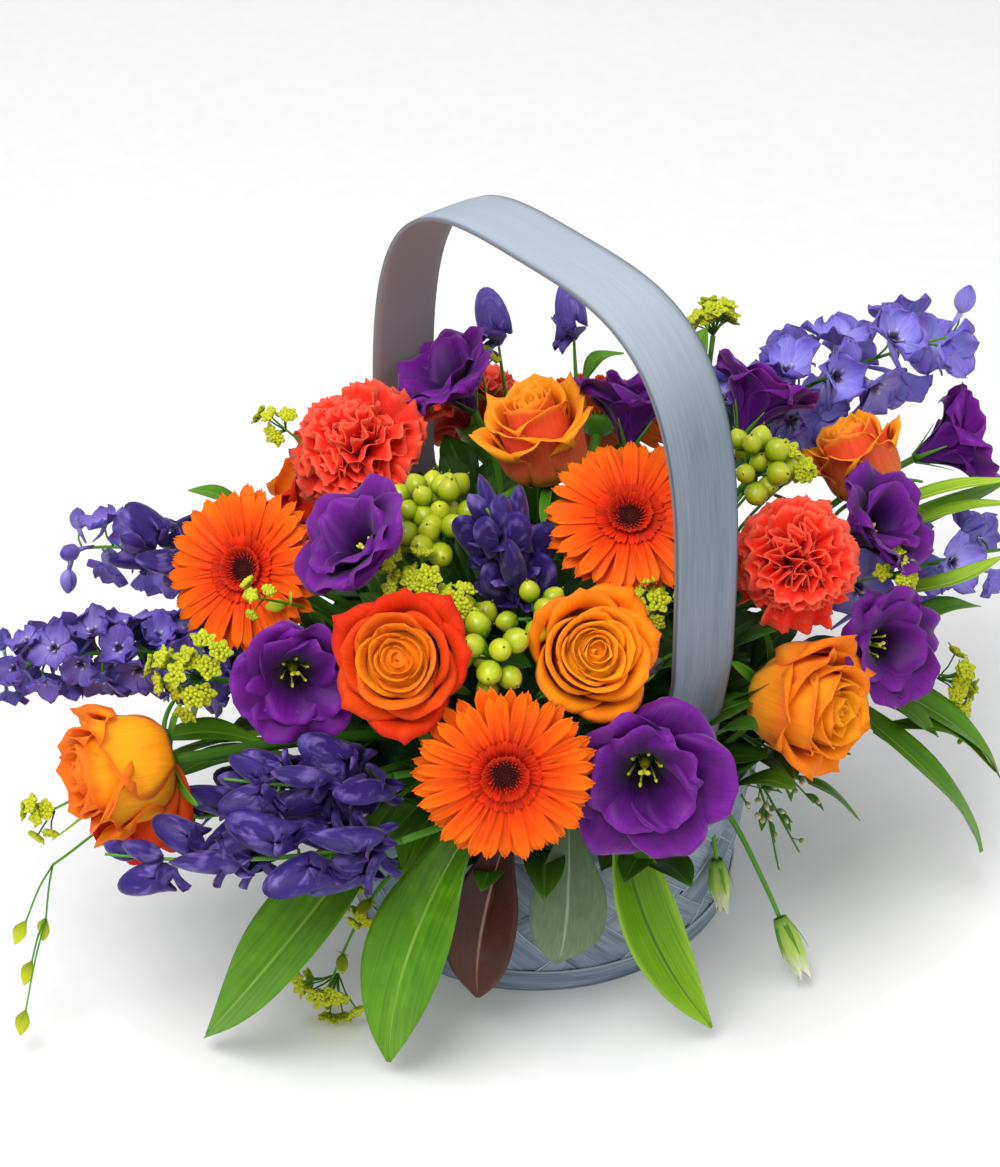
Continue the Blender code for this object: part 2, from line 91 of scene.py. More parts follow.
class Skin:  # gathers closed shells until they become one piece on the root body
    def __init__(self):
        self.points, self.quads, self.run, self.share, self.deep = [], [], [], [], []
        self.count = 0

    def put(self, points, quads, run, share, deep):
        self.points.append(points.reshape(-1, 3))
        self.quads.append(quads + self.count)
        self.run.append(run.reshape(-1, 3))
        self.share.append(share.reshape(-1, 3))
        self.deep.append(np.broadcast_to(deep, points.shape[:-1]).ravel())
        self.count += points.size // 3

    # a sheet of rows along and columns across, given a thickness that thins towards its edge. run stores its
    # metres across and along and its tone, share its u, v and side, and deep is painted shade: how much
    # light reaches it, which darkens its colour
    def sheet(self, grid, thick, tone=0.5, deep=1.0, edge=0.4):
        rows, columns = grid.shape[:2]
        along, across = np.gradient(grid, axis=0), np.gradient(grid, axis=1)
        out = np.cross(along, across)
        out /= np.linalg.norm(out, axis=2, keepdims=True) + 1e-12
        u, v = np.meshgrid(np.linspace(0, 1, rows), np.linspace(-1, 1, columns), indexing="ij")
        half = thick / 2 * (edge + (1 - edge) * np.minimum(1, 3 * (1 - abs(v))) * np.minimum(1, 4 * (1 - u)))
        both = np.stack([grid + out * half[..., None], grid - out * half[..., None]])
        wide = np.cumsum(np.linalg.norm(across, axis=2), axis=1)
        wide -= wide[:, columns // 2:columns // 2 + 1]
        far = np.cumsum(np.linalg.norm(along[:, columns // 2], axis=1))[:, None] + 0 * v
        run = np.stack([wide, far, 0 * v + tone], -1)
        sides = np.stack([np.stack([u, v, 0 * u + side], -1) for side in (1.0, 0.0)])
        depth = np.broadcast_to(deep, (rows, columns))
        self.put(both, shellQuads(rows, columns), np.stack([run, run]), sides, np.stack([depth, depth]))

    # a round closed bar along a path, with one radius for each point
    def tube(self, path, radii, sides=8, tone=0.5, deep=1.0, flat=1.0):
        path = np.asarray(path, float)
        radii = np.broadcast_to(radii, len(path))
        ways = np.gradient(path, axis=0)
        across = unit(np.cross(ways[0], (0.31, 0.17, 0.93) if abs(unit(ways[0])[2]) < 0.9 else (1, 0, 0)))
        turn = np.arange(sides) * 2 * math.pi / sides
        rings = []
        for point, way, radius in zip(path, ways, radii):
            way = unit(way)
            across = unit(across - way * across.dot(way))
            other = np.cross(way, across) * flat
            rings.append(point + radius * (np.outer(np.cos(turn), across) + np.outer(np.sin(turn), other)))
        far = np.concatenate([[0], np.cumsum(np.linalg.norm(np.diff(path, axis=0), axis=1))])
        u, v = np.meshgrid(far, turn / math.pi - 1, indexing="ij")
        run = np.stack([v * math.pi * np.asarray(radii)[:, None], u, 0 * u + tone], -1)
        share = np.stack([u / max(far[-1], 1e-9), v, 0 * u + 1], -1)
        self.put(np.array(rings), tubeQuads(len(path), sides), run, share, deep)

    # an egg-shaped body from foot along way, such as a berry, a bud or an anther
    def egg(self, foot, way, length, radius, sides=8, rings=7, tone=0.5, deep=1.0, fat=0.5):
        t = np.linspace(0.02, 0.98, rings)
        belly = np.sin(math.pi * t ** (math.log(0.5) / math.log(fat))) ** 0.62
        self.tube(np.asarray(foot) + np.outer(t * length, unit(way)), radius * belly, sides, tone, deep)

    def piece(self, name, material, slot, replaced=()):
        points, quads = np.concatenate(self.points), np.concatenate(self.quads)
        mesh = bpy.data.meshes.new(name)
        mesh.vertices.add(len(points))
        mesh.vertices.foreach_set("co", points.ravel())
        mesh.loops.add(quads.size)
        mesh.loops.foreach_set("vertex_index", quads.ravel())
        mesh.polygons.add(len(quads))
        mesh.polygons.foreach_set("loop_start", np.arange(len(quads)) * 4)
        mesh.update(calc_edges=True)
        mesh.shade_smooth()
        for label, values in (("run", self.run), ("share", self.share)):
            kept = mesh.attributes.new(label, "FLOAT_VECTOR", "POINT")
            kept.data.foreach_set("vector", np.concatenate(values).ravel())
        # deep is painted shade: a darkening multiplied into the colour where little light reaches
        mesh.attributes.new("deep", "FLOAT", "POINT").data.foreach_set("value", np.concatenate(self.deep))
        mesh.materials.append(material)
        made = bpy.data.objects.new(name, mesh)
        bpy.context.scene.collection.objects.link(made)
        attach(made, "root")
        if replaced:
            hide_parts(*replaced)


def ringsOf(name):  # a stalk's rings of corners in the frame, from its cut end to its tip
    mesh = nodes[name].data
    found = np.empty(len(mesh.vertices) * 3)
    mesh.vertices.foreach_get("co", found)
    corners, index = np.unique(np.round(found.reshape(-1, 3), 5), axis=0, return_inverse=True)
    index = index.reshape(-1)
    links = [set() for corner in corners]
    for edge in mesh.edges:
        one, other = (index[i] for i in edge.vertices)
        links[one].add(other)
        links[other].add(one)
    first = np.argmin(np.linalg.norm(corners - heart, axis=1))
    ringSize = 4 if name.startswith("leaf") else 8  # corners round a leaf's stalk or a bloom's stem
    ring = set(np.argsort(np.linalg.norm(corners - corners[first], axis=1))[:ringSize])
    seen, rings = set(ring), [corners[sorted(ring)]]
    while True:
        ring = set().union(*(links[i] for i in ring)) - seen
        if not ring:
            return rings
        seen |= ring
        rings.append(corners[sorted(ring)])


def curveThrough(points, steps=5):  # a smooth curve through every point
    points = np.asarray(points, float)
    padded = np.concatenate([2 * points[:1] - points[1:2], points, 2 * points[-1:] - points[-2:-1]])
    t = np.linspace(0, 1, steps, endpoint=False)[:, None]
    found = []
    for a, b, c, d in zip(padded, padded[1:], padded[2:], padded[3:]):
        square, cube = 2 * a - 5 * b + 4 * c - d, 3 * b - a - 3 * c + d
        found.append(0.5 * (2 * b + (c - a) * t + square * t**2 + cube * t**3))
    return np.concatenate(found + [points[-1:]])


def axesFor(axis, upright=(0, 0, 1)):  # rows: two ways across, and the axis itself
    axis = unit(axis)
    side = np.cross(upright, axis)
    side = unit(side if np.linalg.norm(side) > 0.05 else np.cross((0, 1, 0), axis))
    return np.array([side, np.cross(axis, side), axis])


def turned(grid, angle):  # round the local z axis
    c, s = math.cos(angle), math.sin(angle)
    return grid @ np.array([[c, s, 0], [-s, c, 0], [0, 0, 1]])


def seated(grid, angle, size, axes, foot):  # turned, then scaled and stood on its foot
    return (turned(grid, angle) * size) @ axes + foot


def tilted(grid, angle):  # round the local y axis
    c, s = math.cos(angle), math.sin(angle)
    return grid @ np.array([[c, 0, s], [0, 1, 0], [-s, 0, c]])


# One petal round the z axis: it starts at (out, up) and each lengthwise line climbs as climb(u, v) says.
def petalGrid(rows, columns, start, length, climb, halfWide, wrap=0.0, lift=None):
    u = np.linspace(0, 1, rows)[:, None]
    v = np.linspace(-1, 1, columns)[None, :]
    angle = climb(u, v) + 0 * u * v
    step = length(v) / (rows - 1)
    mid = (angle[1:] + angle[:-1]) / 2
    nought = np.zeros((1, columns))
    out = start[0] + np.concatenate([nought, np.cumsum(np.cos(mid) * step, axis=0)])
    up = start[1] + np.concatenate([nought, np.cumsum(np.sin(mid) * step, axis=0)])
    wide = halfWide(u) * v
    turn = wrap * wide / np.maximum(out, mm)
    raised = lift(u, v) if lift else 0 * wide
    out = out - raised * np.sin(angle)
    x = out * np.cos(turn)
    y = out * np.sin(turn) + (1 - wrap) * wide
    return np.stack([x, y, up + raised * np.cos(angle)], -1)


def headOf(name, depth):  # a bloom's back, axis, radius and axes, and what sets its unit grids in place
    rings = ringsOf(name)
    back, front = rings[4].mean(0), rings[-1].mean(0)
    axis, radius = unit(front - back), np.linalg.norm(front - back) / depth
    axes = axesFor(axis)
    return back, axis, radius, axes, lambda grid: grid * radius @ axes + back


def greenPieces(green, name, part, material):  # a bloom's gathered green part, then the stem below it
    green.piece(name + part, material, "leaf")
    rings = ringsOf(name)[:5]
    path = curveThrough(np.array([ring.mean(0) for ring in rings]), 4)
    thick = [np.linalg.norm(ring - ring.mean(0), axis=1).mean() for ring in rings]
    radii = np.interp(np.linspace(0, 1, len(path)), np.linspace(0, 1, len(thick)), thick)
    skin = Skin()
    # painted shade on the stem
    skin.tube(path, radii, 10, deep=0.7)
    skin.piece(name + "_stem", material, "leaf")


def linear(hexColour):
    parts = [int(hexColour[i:i + 2], 16) / 255 for i in (1, 3, 5)]
    return [p / 12.92 if p <= 0.04045 else ((p + 0.055) / 1.055) ** 2.4 for p in parts] + [1.0]


# Adds one node and returns one of its outputs. links gives each input another output, a hex colour or a
# fixed value; stops gives the places and colours of a ramp.
def addNode(tree, kind, links=(), output=0, stops=(), **settings):
    made = tree.nodes.new("ShaderNode" + kind)
    for setting, value in settings.items():
        setattr(made, setting, value)
    for socket, value in dict(links).items():
        if isinstance(value, bpy.types.NodeSocket):
            tree.links.new(value, made.inputs[socket])
        else:
            made.inputs[socket].default_value = linear(value) if isinstance(value, str) else value
    for i, (place, colour) in enumerate(dict(stops).items()):
        held = made.color_ramp.elements
        spot = held[i] if i < 2 else held.new(place)
        spot.position, spot.color = place, linear(colour)
    return made.outputs[output] if made.outputs else None


def mixed(tree, share, under, over, **settings):
    return addNode(tree, "Mix", {0: share, 6: under, 7: over}, 2, data_type="RGBA", **settings)


def ranged(tree, value, low, high, start, end, **settings):  # low to high becomes start to end
    links = {"Value": value, "From Min": low, "From Max": high, "To Min": start, "To Max": end}
    return addNode(tree, "MapRange", links, **settings)


def worked(tree, operation, *values):
    return addNode(tree, "Math", dict(enumerate(values)), operation=operation)


def noise(tree, place, scale, detail, rough=0.5):  # scale is in waves per metre, along each axis
    links = {"Vector": addNode(tree, "Mapping", {"Vector": place, "Scale": scale}), "Scale": 1.0}
    return addNode(tree, "TexNoise", {**links, "Detail": detail, "Roughness": rough})


def sheetPlaces(tree):  # the outputs run, u, v, side and tone that each Skin stores
    run = addNode(tree, "Attribute", output="Vector", attribute_name="run")
    share = addNode(tree, "Attribute", output="Vector", attribute_name="share")
    u, v, side = addNode(tree, "SeparateXYZ", {0: share}).node.outputs
    return run, u, v, side, addNode(tree, "SeparateXYZ", {0: run}, 2)


def newFinish(name):
    finish = bpy.data.materials.new(name)
    finish.use_nodes = True
    finish.node_tree.nodes.clear()
    return finish, finish.node_tree


def closeFinish(tree, surface, colour, height=None, deep=0.0):  # deep is the height's relief in millimetres
    links = {**surface, "Base Color": colour}
    if height is not None:
        links["Normal"] = addNode(tree, "Bump", {"Height": height, "Strength": 1.0, "Distance": deep * mm})
    addNode(tree, "OutputMaterial", {0: addNode(tree, "BsdfPrincipled", links)})


# Plant skin: soft cell tissue, so light sinks in a little, with fine lengthwise ribs that catch it.
# inner and outer colour the two faces from foot to tip; inner serves for both if outer is left out.
# ribs is the rib spacing and length in millimetres. core is a colour, the tones between which it fades and
# its amount; edge and midrib are a colour, its place and its amount; patch is a colour and its amount.
def plantFinish(name, inner, outer=None, core=None, edge=None, midrib=None, patch=None, ribs=(0.9, 14),
                ribDark=0.75, ribDeep=0.12, toneSpread=0.22, rough=0.55, gloss=0.3, soft=0.12, sheen=0.03,
                coat=0.0):
    finish, tree = newFinish(name)
    surface = {
        "Roughness": rough, "IOR": 1.42, "Specular IOR Level": gloss,
        "Coat Weight": coat, "Coat Roughness": 0.3, "Sheen Weight": sheen, "Sheen Roughness": 0.4,
        "Subsurface Weight": soft, "Subsurface Radius": (1.0, 0.5, 0.25), "Subsurface Scale": 2.5 * mm}
    run, u, v, side, tone = sheetPlaces(tree)
    # the painted shade that each Skin stores, multiplied into the colour below
    deep = addNode(tree, "Attribute", output="Fac", attribute_name="deep")
    rib = noise(tree, run, (1 / (ribs[0] * mm), 1 / (ribs[1] * mm), 97.0), 3.0, 0.6)
    cloud = noise(tree, run, (120.0, 90.0, 53.0), 2.0)
    along = worked(tree, "MULTIPLY_ADD", worked(tree, "ADD", cloud, -0.5), 0.35, u)
    faces = [addNode(tree, "ValToRGB", {0: along}, stops=stops) for stops in (outer or inner, inner)]
    colour = mixed(tree, side, *faces)
    if edge or midrib:
        offMiddle = worked(tree, "ABSOLUTE", v)
    if core:  # the innermost petals, whose tone is lowest, keep the heart's colour
        paint, least, most, amount = core
        colour = mixed(tree, ranged(tree, tone, least, most, amount, 0.0), colour, paint)
    if edge:  # colour that gathers along the rim
        paint, start, amount = edge
        rim = worked(tree, "MAXIMUM", offMiddle, u)
        band = ranged(tree, rim, start, 1.0, 0.0, amount, interpolation_type="SMOOTHSTEP")
        colour = mixed(tree, band, colour, paint)
    if midrib:  # a line down the middle, soft at its sides
        paint, wide, amount = midrib
        line = ranged(tree, offMiddle, wide * 0.6, wide * 1.8, amount, 0.0)
        colour = mixed(tree, line, colour, paint)
    if patch:  # cloudy flecks
        paint, amount = patch
        colour = mixed(tree, ranged(tree, cloud, 0.52, 0.7, 0.0, amount), colour, paint)
    ribShade = ranged(tree, rib, 0.3, 0.65, ribDark, 1.08)
    toneShade = ranged(tree, tone, 0.0, 1.0, 1 - toneSpread / 2, 1 + toneSpread / 2)
    shade = worked(tree, "MULTIPLY", worked(tree, "MULTIPLY", ribShade, toneShade), deep)
    closeFinish(tree, surface, mixed(tree, 1.0, colour, shade, blend_type="MULTIPLY"), rib, ribDeep)
    return finish


# Poplar chip, sliced thin and steamed, then washed over with blue-grey paint: matt, with the grain's lines
# 0.7 mm apart showing through the wash. Its edges take a colour of their own: pale wood rubbed through on
# the chip, painted shade along the hoop's edges. inside is the strip's underside, which the brush hardly
# reached. A lighter colour mixed in where the strip faces upward is a painted highlight, standing in for the
# light from above.
def washedWood(name, dark, mid, pale, edgeWearAndShade, inside=None, paintedTopLight=None, grainDeep=0.18, streaks=0.55):
    finish, tree = newFinish(name)
    run, _, v, side, tone = sheetPlaces(tree)
    grain = noise(tree, run, (1 / (0.7 * mm), 1 / (38 * mm), 61.0), 5.0, 0.65)
    wash = noise(tree, run, (1 / (9 * mm), 1 / (60 * mm), 23.0), 3.0)
    both = worked(tree, "MULTIPLY_ADD", wash, streaks, grain)
    colour = addNode(tree, "ValToRGB", {0: both}, stops={0.52: dark, 0.74: mid, 0.92: pale})
    # the edges' colour: pale wear on the chip, painted shade on the hoop's edges
    edgeBand = worked(tree, "MULTIPLY_ADD", grain, 0.06, worked(tree, "ABSOLUTE", v))
    colour = mixed(tree, ranged(tree, edgeBand, 0.965, 1.01, 0.0, 1.0), colour, edgeWearAndShade)
    if inside:
        colour = mixed(tree, side, inside, colour)
    # painted highlight: a lighter colour where the strip faces upward, as if lit from above
    if paintedTopLight:
        normal = addNode(tree, "NewGeometry", output="Normal")
        upward = ranged(tree, addNode(tree, "SeparateXYZ", {0: normal}, 2), 0.3, 1.0, 0.0, 0.5)
        colour = mixed(tree, upward, colour, paintedTopLight)
    colour = mixed(tree, 1.0, colour, ranged(tree, tone, 0.0, 1.0, 0.86, 1.1), blend_type="MULTIPLY")
    closeFinish(tree, {"Roughness": 0.62, "IOR": 1.5, "Specular IOR Level": 0.35}, colour, grain, grainDeep)
    return finish


# chip and hoop are the washed woods; turn is where the first strip starts, and legInset is how far the
# handle's legs stand in from the foot of the wall.
basketLook = dict(
    chip=dict(dark="#545F6D", mid="#738395", pale="#94A2B2", edgeWearAndShade="#B8C0CA"),
    # the hoop's dark edge colour is painted shade, and the colour for its upward faces is a painted
    # highlight
    hoop=dict(dark="#6B7583", mid="#76808D", pale="#828B98", edgeWearAndShade="#4C5661", inside="#8C8788",
              paintedTopLight="#B9C2CD", grainDeep=0.08, streaks=0.5),
    strips=14, stripGap=3.0 * mm, stripThick=0.9 * mm, weaveDepth=0.75 * mm, weaveFlat=0.6, turn=0.498,
    bandThick=1.7 * mm, bandInset=0.4 * mm, lap=0.06, hoopThick=2.8 * mm, hoopBow=0.5 * mm,
    widest=201.5 * mm, squareness=3.54, legInset=4.8 * mm)


def ovalAt(z, low, high, lowHalf, highHalf):  # half sizes of the leaning oval wall at height z
    t = ((np.asarray(z, float) - low) / (high - low))[..., None]
    return lowHalf * (1 - t) + highHalf * t


def hoop(skin, half, middle, tall, thick, lean, tone):  # a strip bent round the oval until its ends lap
    lap = basketLook["lap"]
    turn = np.linspace(-lap, 2 * math.pi + lap, 144)[:, None]
    v = np.linspace(-1, 1, 7)[None, :]
    climb = thick * 1.05 * smooth((turn - 2 * math.pi + 0.5) / 0.4)  # the outer end rides over the inner one
    wideX = half[0] + climb + lean[0] * v * tall / 2
    wideY = half[1] + climb + lean[1] * v * tall / 2
    z = middle + v * tall / 2 + 0 * turn
    grid = np.stack([wideX * np.cos(turn), wideY * np.sin(turn), z], -1)
    skin.sheet(grid[:, ::-1], thick, tone, edge=0.75)


def makeBasket():
    look = basketLook
    wood = washedWood("washedPoplarChip", **look["chip"])
    low, high = (np.array(corner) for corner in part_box("basket_wall"))
    found = np.array([v.co for v in nodes["basket_wall"].data.vertices])
    baseHalf = abs(found[found[:, 2] < low[2] + mm]).max(0)[:2]
    rimHalf = abs(found[found[:, 2] > high[2] - mm]).max(0)[:2]
    around = math.pi * (baseHalf.sum() + rimHalf.sum()) / 2
    pitch = around / look["strips"]
    slant = math.sqrt(0.5)  # the strips climb at 45 degrees
    half = (pitch * slant - look["stripGap"]) / 2
    tall = high[2] - low[2]
    lean = (rimHalf - baseHalf) / tall
    rng = np.random.default_rng(4)
    for family, way in (("a", 1), ("b", -1)):
        skin = Skin()
        for strip in range(look["strips"]):
            t = np.linspace(-half * 1.2, tall * math.sqrt(2) + half * 1.2, 40)[:, None]
            w = np.linspace(-half, half, 9)[None, :]
            z = np.clip((t + w * way) * slant, 0, tall) + low[2]
            p = (t * way - w) * slant + strip * pitch
            wave = np.cos(2 * math.pi * t * slant / pitch)  # over one crossing strip, under the next
            wave = np.sign(wave) * abs(wave) ** look["weaveFlat"]
            inset = look["stripThick"] + look["weaveDepth"] * (1 - way * wave)
            turn = p / around * 2 * math.pi + look["turn"]
            halves = ovalAt(z, low[2], high[2], baseHalf, rimHalf) - inset[..., None]
            grid = np.stack([halves[..., 0] * np.cos(turn), halves[..., 1] * np.sin(turn), z], -1)
            skin.sheet(grid, look["stripThick"], rng.random(), edge=0.8)
        skin.piece("plaited_strips_" + family, wood, "painted_wood", ("basket_wall",))
    thick = look["bandThick"]
    for name in ("base_band", "rim_band"):
        low, high = (np.array(corner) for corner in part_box(name))
        skin = Skin()
        deep = high[2] - low[2]
        half = high[:2] - thick * 0.75 - lean * deep / 2 - look["bandInset"]
        hoop(skin, half, ((low + high) / 2)[2], deep, thick, lean, 0.62)
        skin.piece(name + "_strip", wood, "painted_wood", (name,))
    makeHandle(baseHalf[1])
    print("basket made")


def makeHandle(wallFoot):  # two straight legs and a squared arc between them, swept as one bowed strip
    look = basketLook
    low, high = (np.array(corner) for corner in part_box("handle"))
    thick, bow, widest = look["hoopThick"], look["hoopBow"], look["widest"]
    reach, top = high[1] - thick / 2, high[2] - thick / 2
    feet = wallFoot - look["legInset"] - thick / 2
    joint, power = np.linspace(0, math.pi, 56), 2 / look["squareness"]
    arcY = -reach * np.sign(np.cos(joint)) * abs(np.cos(joint)) ** power
    arcZ = widest + (top - widest) * np.sin(joint) ** power
    legs = np.linspace(0, 1, 14)[:-1]
    legY = -(feet + (reach - feet) * legs)
    legZ = low[2] + (widest - low[2]) * legs
    y = np.concatenate([legY, arcY, -legY[::-1]])[:, None]
    z = np.concatenate([legZ, arcZ, legZ[::-1]])[:, None]
    v = np.linspace(-1, 1, 9)[None, :]
    wide = (high[0] - low[0]) / 2
    grid = np.stack([wide * v + 0 * y, y + 0 * v, z - bow * v**2], -1)
    skin = Skin()
    skin.sheet(grid[:, ::-1], thick, 0.85, edge=0.7)
    skin.piece("handle_hoop", washedWood("washedPoplarHoop", **look["hoop"]), "painted_wood", ("handle",))


# Shapes shared by the petals. u runs from foot to tip, and the answer is a share of the half width.
def rounded(u, start, reach, least):  # full up to start, then a quarter ellipse
    return np.sqrt(np.clip(1 - (np.maximum(u - start, 0) / reach) ** 2, least, 1))


def oval(u, least, squeeze=2.0, middle=1.1):
    return np.sqrt(np.clip(1 - (squeeze * u - middle) ** 2, least, 1))


# A small plain leaf, such as a sepal: its climb bends from foot to tip and its width tapers.
def bract(rows, columns, start, long, climb, bend, wide, taper, least=0.0, **more):
    return petalGrid(rows, columns, start, lambda v: long + 0 * v, lambda u, v: np.radians(climb + bend * u),
                     lambda u: wide * (1 - taper * u) + least, **more)


gerberaLook = dict(
    rows=(  # from the back: count, length, height, climb at foot and tip, width, and its painted shade (the share of light that reaches it)
        (30, 0.81, 0.15, 12, -12, 1, 1.0), (30, 0.79, 0.19, 20, -4, 1, 1.0),
        (40, 0.24, 0.23, 30, 4, 0.42, 0.9), (36, 0.14, 0.25, 60, 40, 0.42, 0.8)),
    start=0.17, halfWide=0.086, keel=0.42, ripple=0.07, thick=0.55 * mm,
    disc=0.235, florets=190, ringFrom=0.55, openFrom=0.62, bracts=26)


def gerbera(name, seed, stuff):
    look = gerberaLook
    rng = np.random.default_rng(seed)
    back, axis, radius, axes, place = headOf(name, 0.36)
    skin, ring, eye, cup = Skin(), Skin(), Skin(), Skin()
    for row, (count, length, height, foot, tip, share, light) in enumerate(look["rows"]):
        for i in range(count):
            reach = length * rng.uniform(0.93, 1.03)
            wide = look["halfWide"] * rng.uniform(0.82, 1.08) * share
            bend, swing = rng.normal(0, 5), rng.normal(0, 0.03)
            grid = petalGrid(
                11, 7, (look["start"], height),
                lambda v: reach * (1 - 0.05 * v**2 + 0.018 * np.cos(v * 2 * math.pi)),
                lambda u, v: np.radians(foot + (tip + bend - foot) * smooth(u)),
                lambda u: wide * (0.42 + 0.58 * smooth(u / 0.5)) * rounded(u, 0.82, 0.19, 0.14),
                lift=lambda u, v: wide * (look["keel"] * v**2 + look["ripple"] * np.cos(3 * math.pi * v)))
            spin = 2 * math.pi * (i + 0.5 * (row % 2) + rng.uniform(-0.16, 0.16)) / count + swing
            kept = ring if row > 1 else skin  # the two short rows stand round the eye
            kept.sheet(place(turned(grid, spin)), look["thick"], rng.random(), light)
    skin.piece(name + "_petals", stuff["gerberaPetal"], "orange", (name,))
    dome, girth = np.array([0.16, 0.20, 0.235, 0.262, 0.275]), np.array([0.20, 0.245, 0.22, 0.13, 0.02])
    # the eye's dome, darkened with painted shade
    eye.tube(back + np.outer(dome * radius, axis), radius * girth, 20, 0.2, 0.4)
    for i in range(look["florets"]):
        share = math.sqrt((i + 0.5) / look["florets"])
        spin, out = i * goldenTurn, look["disc"] * share
        up = 0.24 + 0.07 * (1 - share**2) - 0.035 * math.exp(-(share / 0.3) ** 2)
        at = np.array([out * math.cos(spin), out * math.sin(spin), up])
        lean = 0.4 + share
        way = unit((at[0] * lean, at[1] * lean, 0.16)) if share > 0.45 else np.array([0, 0, 1.0])
        long, girth = (0.055, 1.25) if share > look["openFrom"] else (0.034, 1)
        kept = ring if share > look["ringFrom"] else eye
        # painted shade: florets in the middle of the disc are darkest
        kept.egg(place(at - way * 0.03), way @ axes, long * radius * 1.5, 0.0105 * radius * girth, 6, 4,
                 rng.random(), 0.35 + 0.65 * share)
    ring.piece(name + "_ring", stuff["gerberaRingFloret"], "orange")
    eye.piece(name + "_eye", stuff["gerberaDiscFloret"], "bronze")
    t = np.linspace(0, 1, 7)
    path = back + np.outer((t * 0.20 - 0.05) * radius, axis)
    cup.tube(path, radius * (0.075 + 0.15 * smooth(t * 1.2)), 20, deep=0.9)
    for i in range(look["bracts"]):
        grid = bract(6, 3, (0.10, -0.01 + 0.02 * (i % 2)), 0.24, 62, -40, 0.028, 0.85)
        cup.sheet(place(turned(grid, 2 * math.pi * i / look["bracts"])), 0.5 * mm, rng.random())
    greenPieces(cup, name, "_cup", stuff["greenStemSkin"])


roseLook = dict(  # lengths are shares of the bloom's radius
    petals=25, foot=0.12, tall=1.38, thick=0.6 * mm, heartFoot=0.1, heartTop=0.2, heartGirth=0.58)
roseKinds = dict(  # how far each rose has opened, how slim it is, its petals' finish and their slot
    rose_top=(0.6, 0.78, "Salmon", "apricot"), rose_red=(1.0, 1.0, "Red", "red"),
    rose_middle=(0.7, 0.97, "Apricot", "apricot"), rose_left=(0.5, 0.95, "Yellow", "apricot"),
    rose_right=(0.65, 1.0, "Apricot", "apricot"), rose_behind=(0.5, 0.85, "Salmon", "apricot"),
    rose_rear=(0.85, 1.0, "Red", "red"))


def rose(name, seed, stuff):
    look, (opening, slim, kind, slot) = roseLook, roseKinds[name]
    rng = np.random.default_rng(seed)
    back, axis, radius, _, place = headOf(name, 1.5)
    skin, green = Skin(), Skin()
    rows, columns = 14, 13
    for i in range(look["petals"]):
        t = i / (look["petals"] - 1)  # from the heart to the outermost petal
        girth = (0.035 + 0.905 * t**0.85) * slim
        last = smooth((t - 0.66) / 0.2)
        bulge = 0.05 * math.sin(math.pi * min(t * 1.25, 1))
        tall = (look["tall"] + bulge - 0.20 * last) * rng.uniform(0.98, 1.03)
        closeIn = 12 * (1 - t) ** 1.2 + 34 * math.exp(-7 * t)
        flare = (34 + 51 * smooth((t - 0.35) / 0.65)) * opening * rng.uniform(0.85, 1.15)
        wide = girth * (2.5 - 1.25 * t) * (1 - 0.26 * last)
        peak = rng.uniform(0.02, 0.07) + 0.13 * last * opening
        ripple, phase = rng.uniform(0.01, 0.03), rng.uniform(0, 6.3)

        def petal(start, **more):
            def climb(u, v):
                roll = flare * smooth((u - 0.72) / 0.28) ** 1.3 * (1 + 0.5 * v**2)
                up = 38 + 52 * smooth(u / 0.42) + closeIn * smooth((u - 0.4) / 0.5)
                return np.radians(up - roll - 26 * last * smooth((u - 0.3) / 0.7))

            return petalGrid(
                rows, columns, (start, look["foot"]),
                lambda v: tall * 1.06 * (1 - 0.10 * v**2 - 0.20 * v**6 + peak * np.exp(-(v / 0.14) ** 2)),
                climb, lambda u: wide * (0.42 + 0.58 * smooth(u / 0.6)) * rounded(u, 0.7, 0.42, 0.1), **more)

        flat = petal(0)  # tried at the axis first, which shows how far out its foot has to sit
        if i == 0:
            rimAt = flat[..., 2].max()
        seat = girth - np.interp(0.55, np.linspace(0, 1, rows), flat[:, columns // 2, 0])
        grid = petal(max(0.03, seat), wrap=1.0, lift=lambda u, v: ripple * u**2 * np.sin(4.2 * v + phase))
        grid = turned(tilted(grid, rng.normal(0, 0.03) * t), i * goldenTurn + rng.normal(0, 0.12))
        # painted shade, darker towards the petal's foot
        deep = 0.9 + 0.1 * smooth(np.linspace(0, 1, rows) * 1.3)
        skin.sheet(place(grid), look["thick"], 0.85 * t + 0.15 * rng.random(), deep[:, None])
    # the furled heart under the rims, so that no deep well opens between two petals
    foot = place(np.array([0.0, 0.0, look["heartFoot"]]))
    long, girth = (rimAt - look["heartTop"]) * radius, look["heartGirth"] * slim * radius
    skin.egg(foot, axis, long, girth, 24, 19, 0.1, 1.0, fat=0.58)
    skin.piece(name + "_petals", stuff["rosePetal" + kind], slot, (name,))
    green.egg(back - axis * 0.10 * radius, axis, 0.42 * radius, 0.27 * radius, 12, 7, deep=0.9)
    for i in range(5):
        droop = rng.uniform(-75, -25)
        grid = petalGrid(9, 5, (0.16, 0.0), lambda v: 0.95 + 0 * v, lambda u, v: np.radians(8 + droop * u),
                         lambda u: 0.13 * (1 - u) ** 0.7 * (0.4 + u * 1.2) + 0.012,
                         lift=lambda u, v: 0.05 * v**2 + 0 * u)
        green.sheet(place(turned(grid, fifthTurn * i + rng.normal(0, 0.15))), 0.5 * mm, rng.random())
    greenPieces(green, name, "_sepals", stuff["greenStemSkin"])


carnationLook = dict(  # mouth is where the petals leave the calyx; hanging ones have dropped outwards
    petals=52, mouth=0.42, thick=0.4 * mm, hanging=dict(carnation_left=4), hangTurn=2.6)


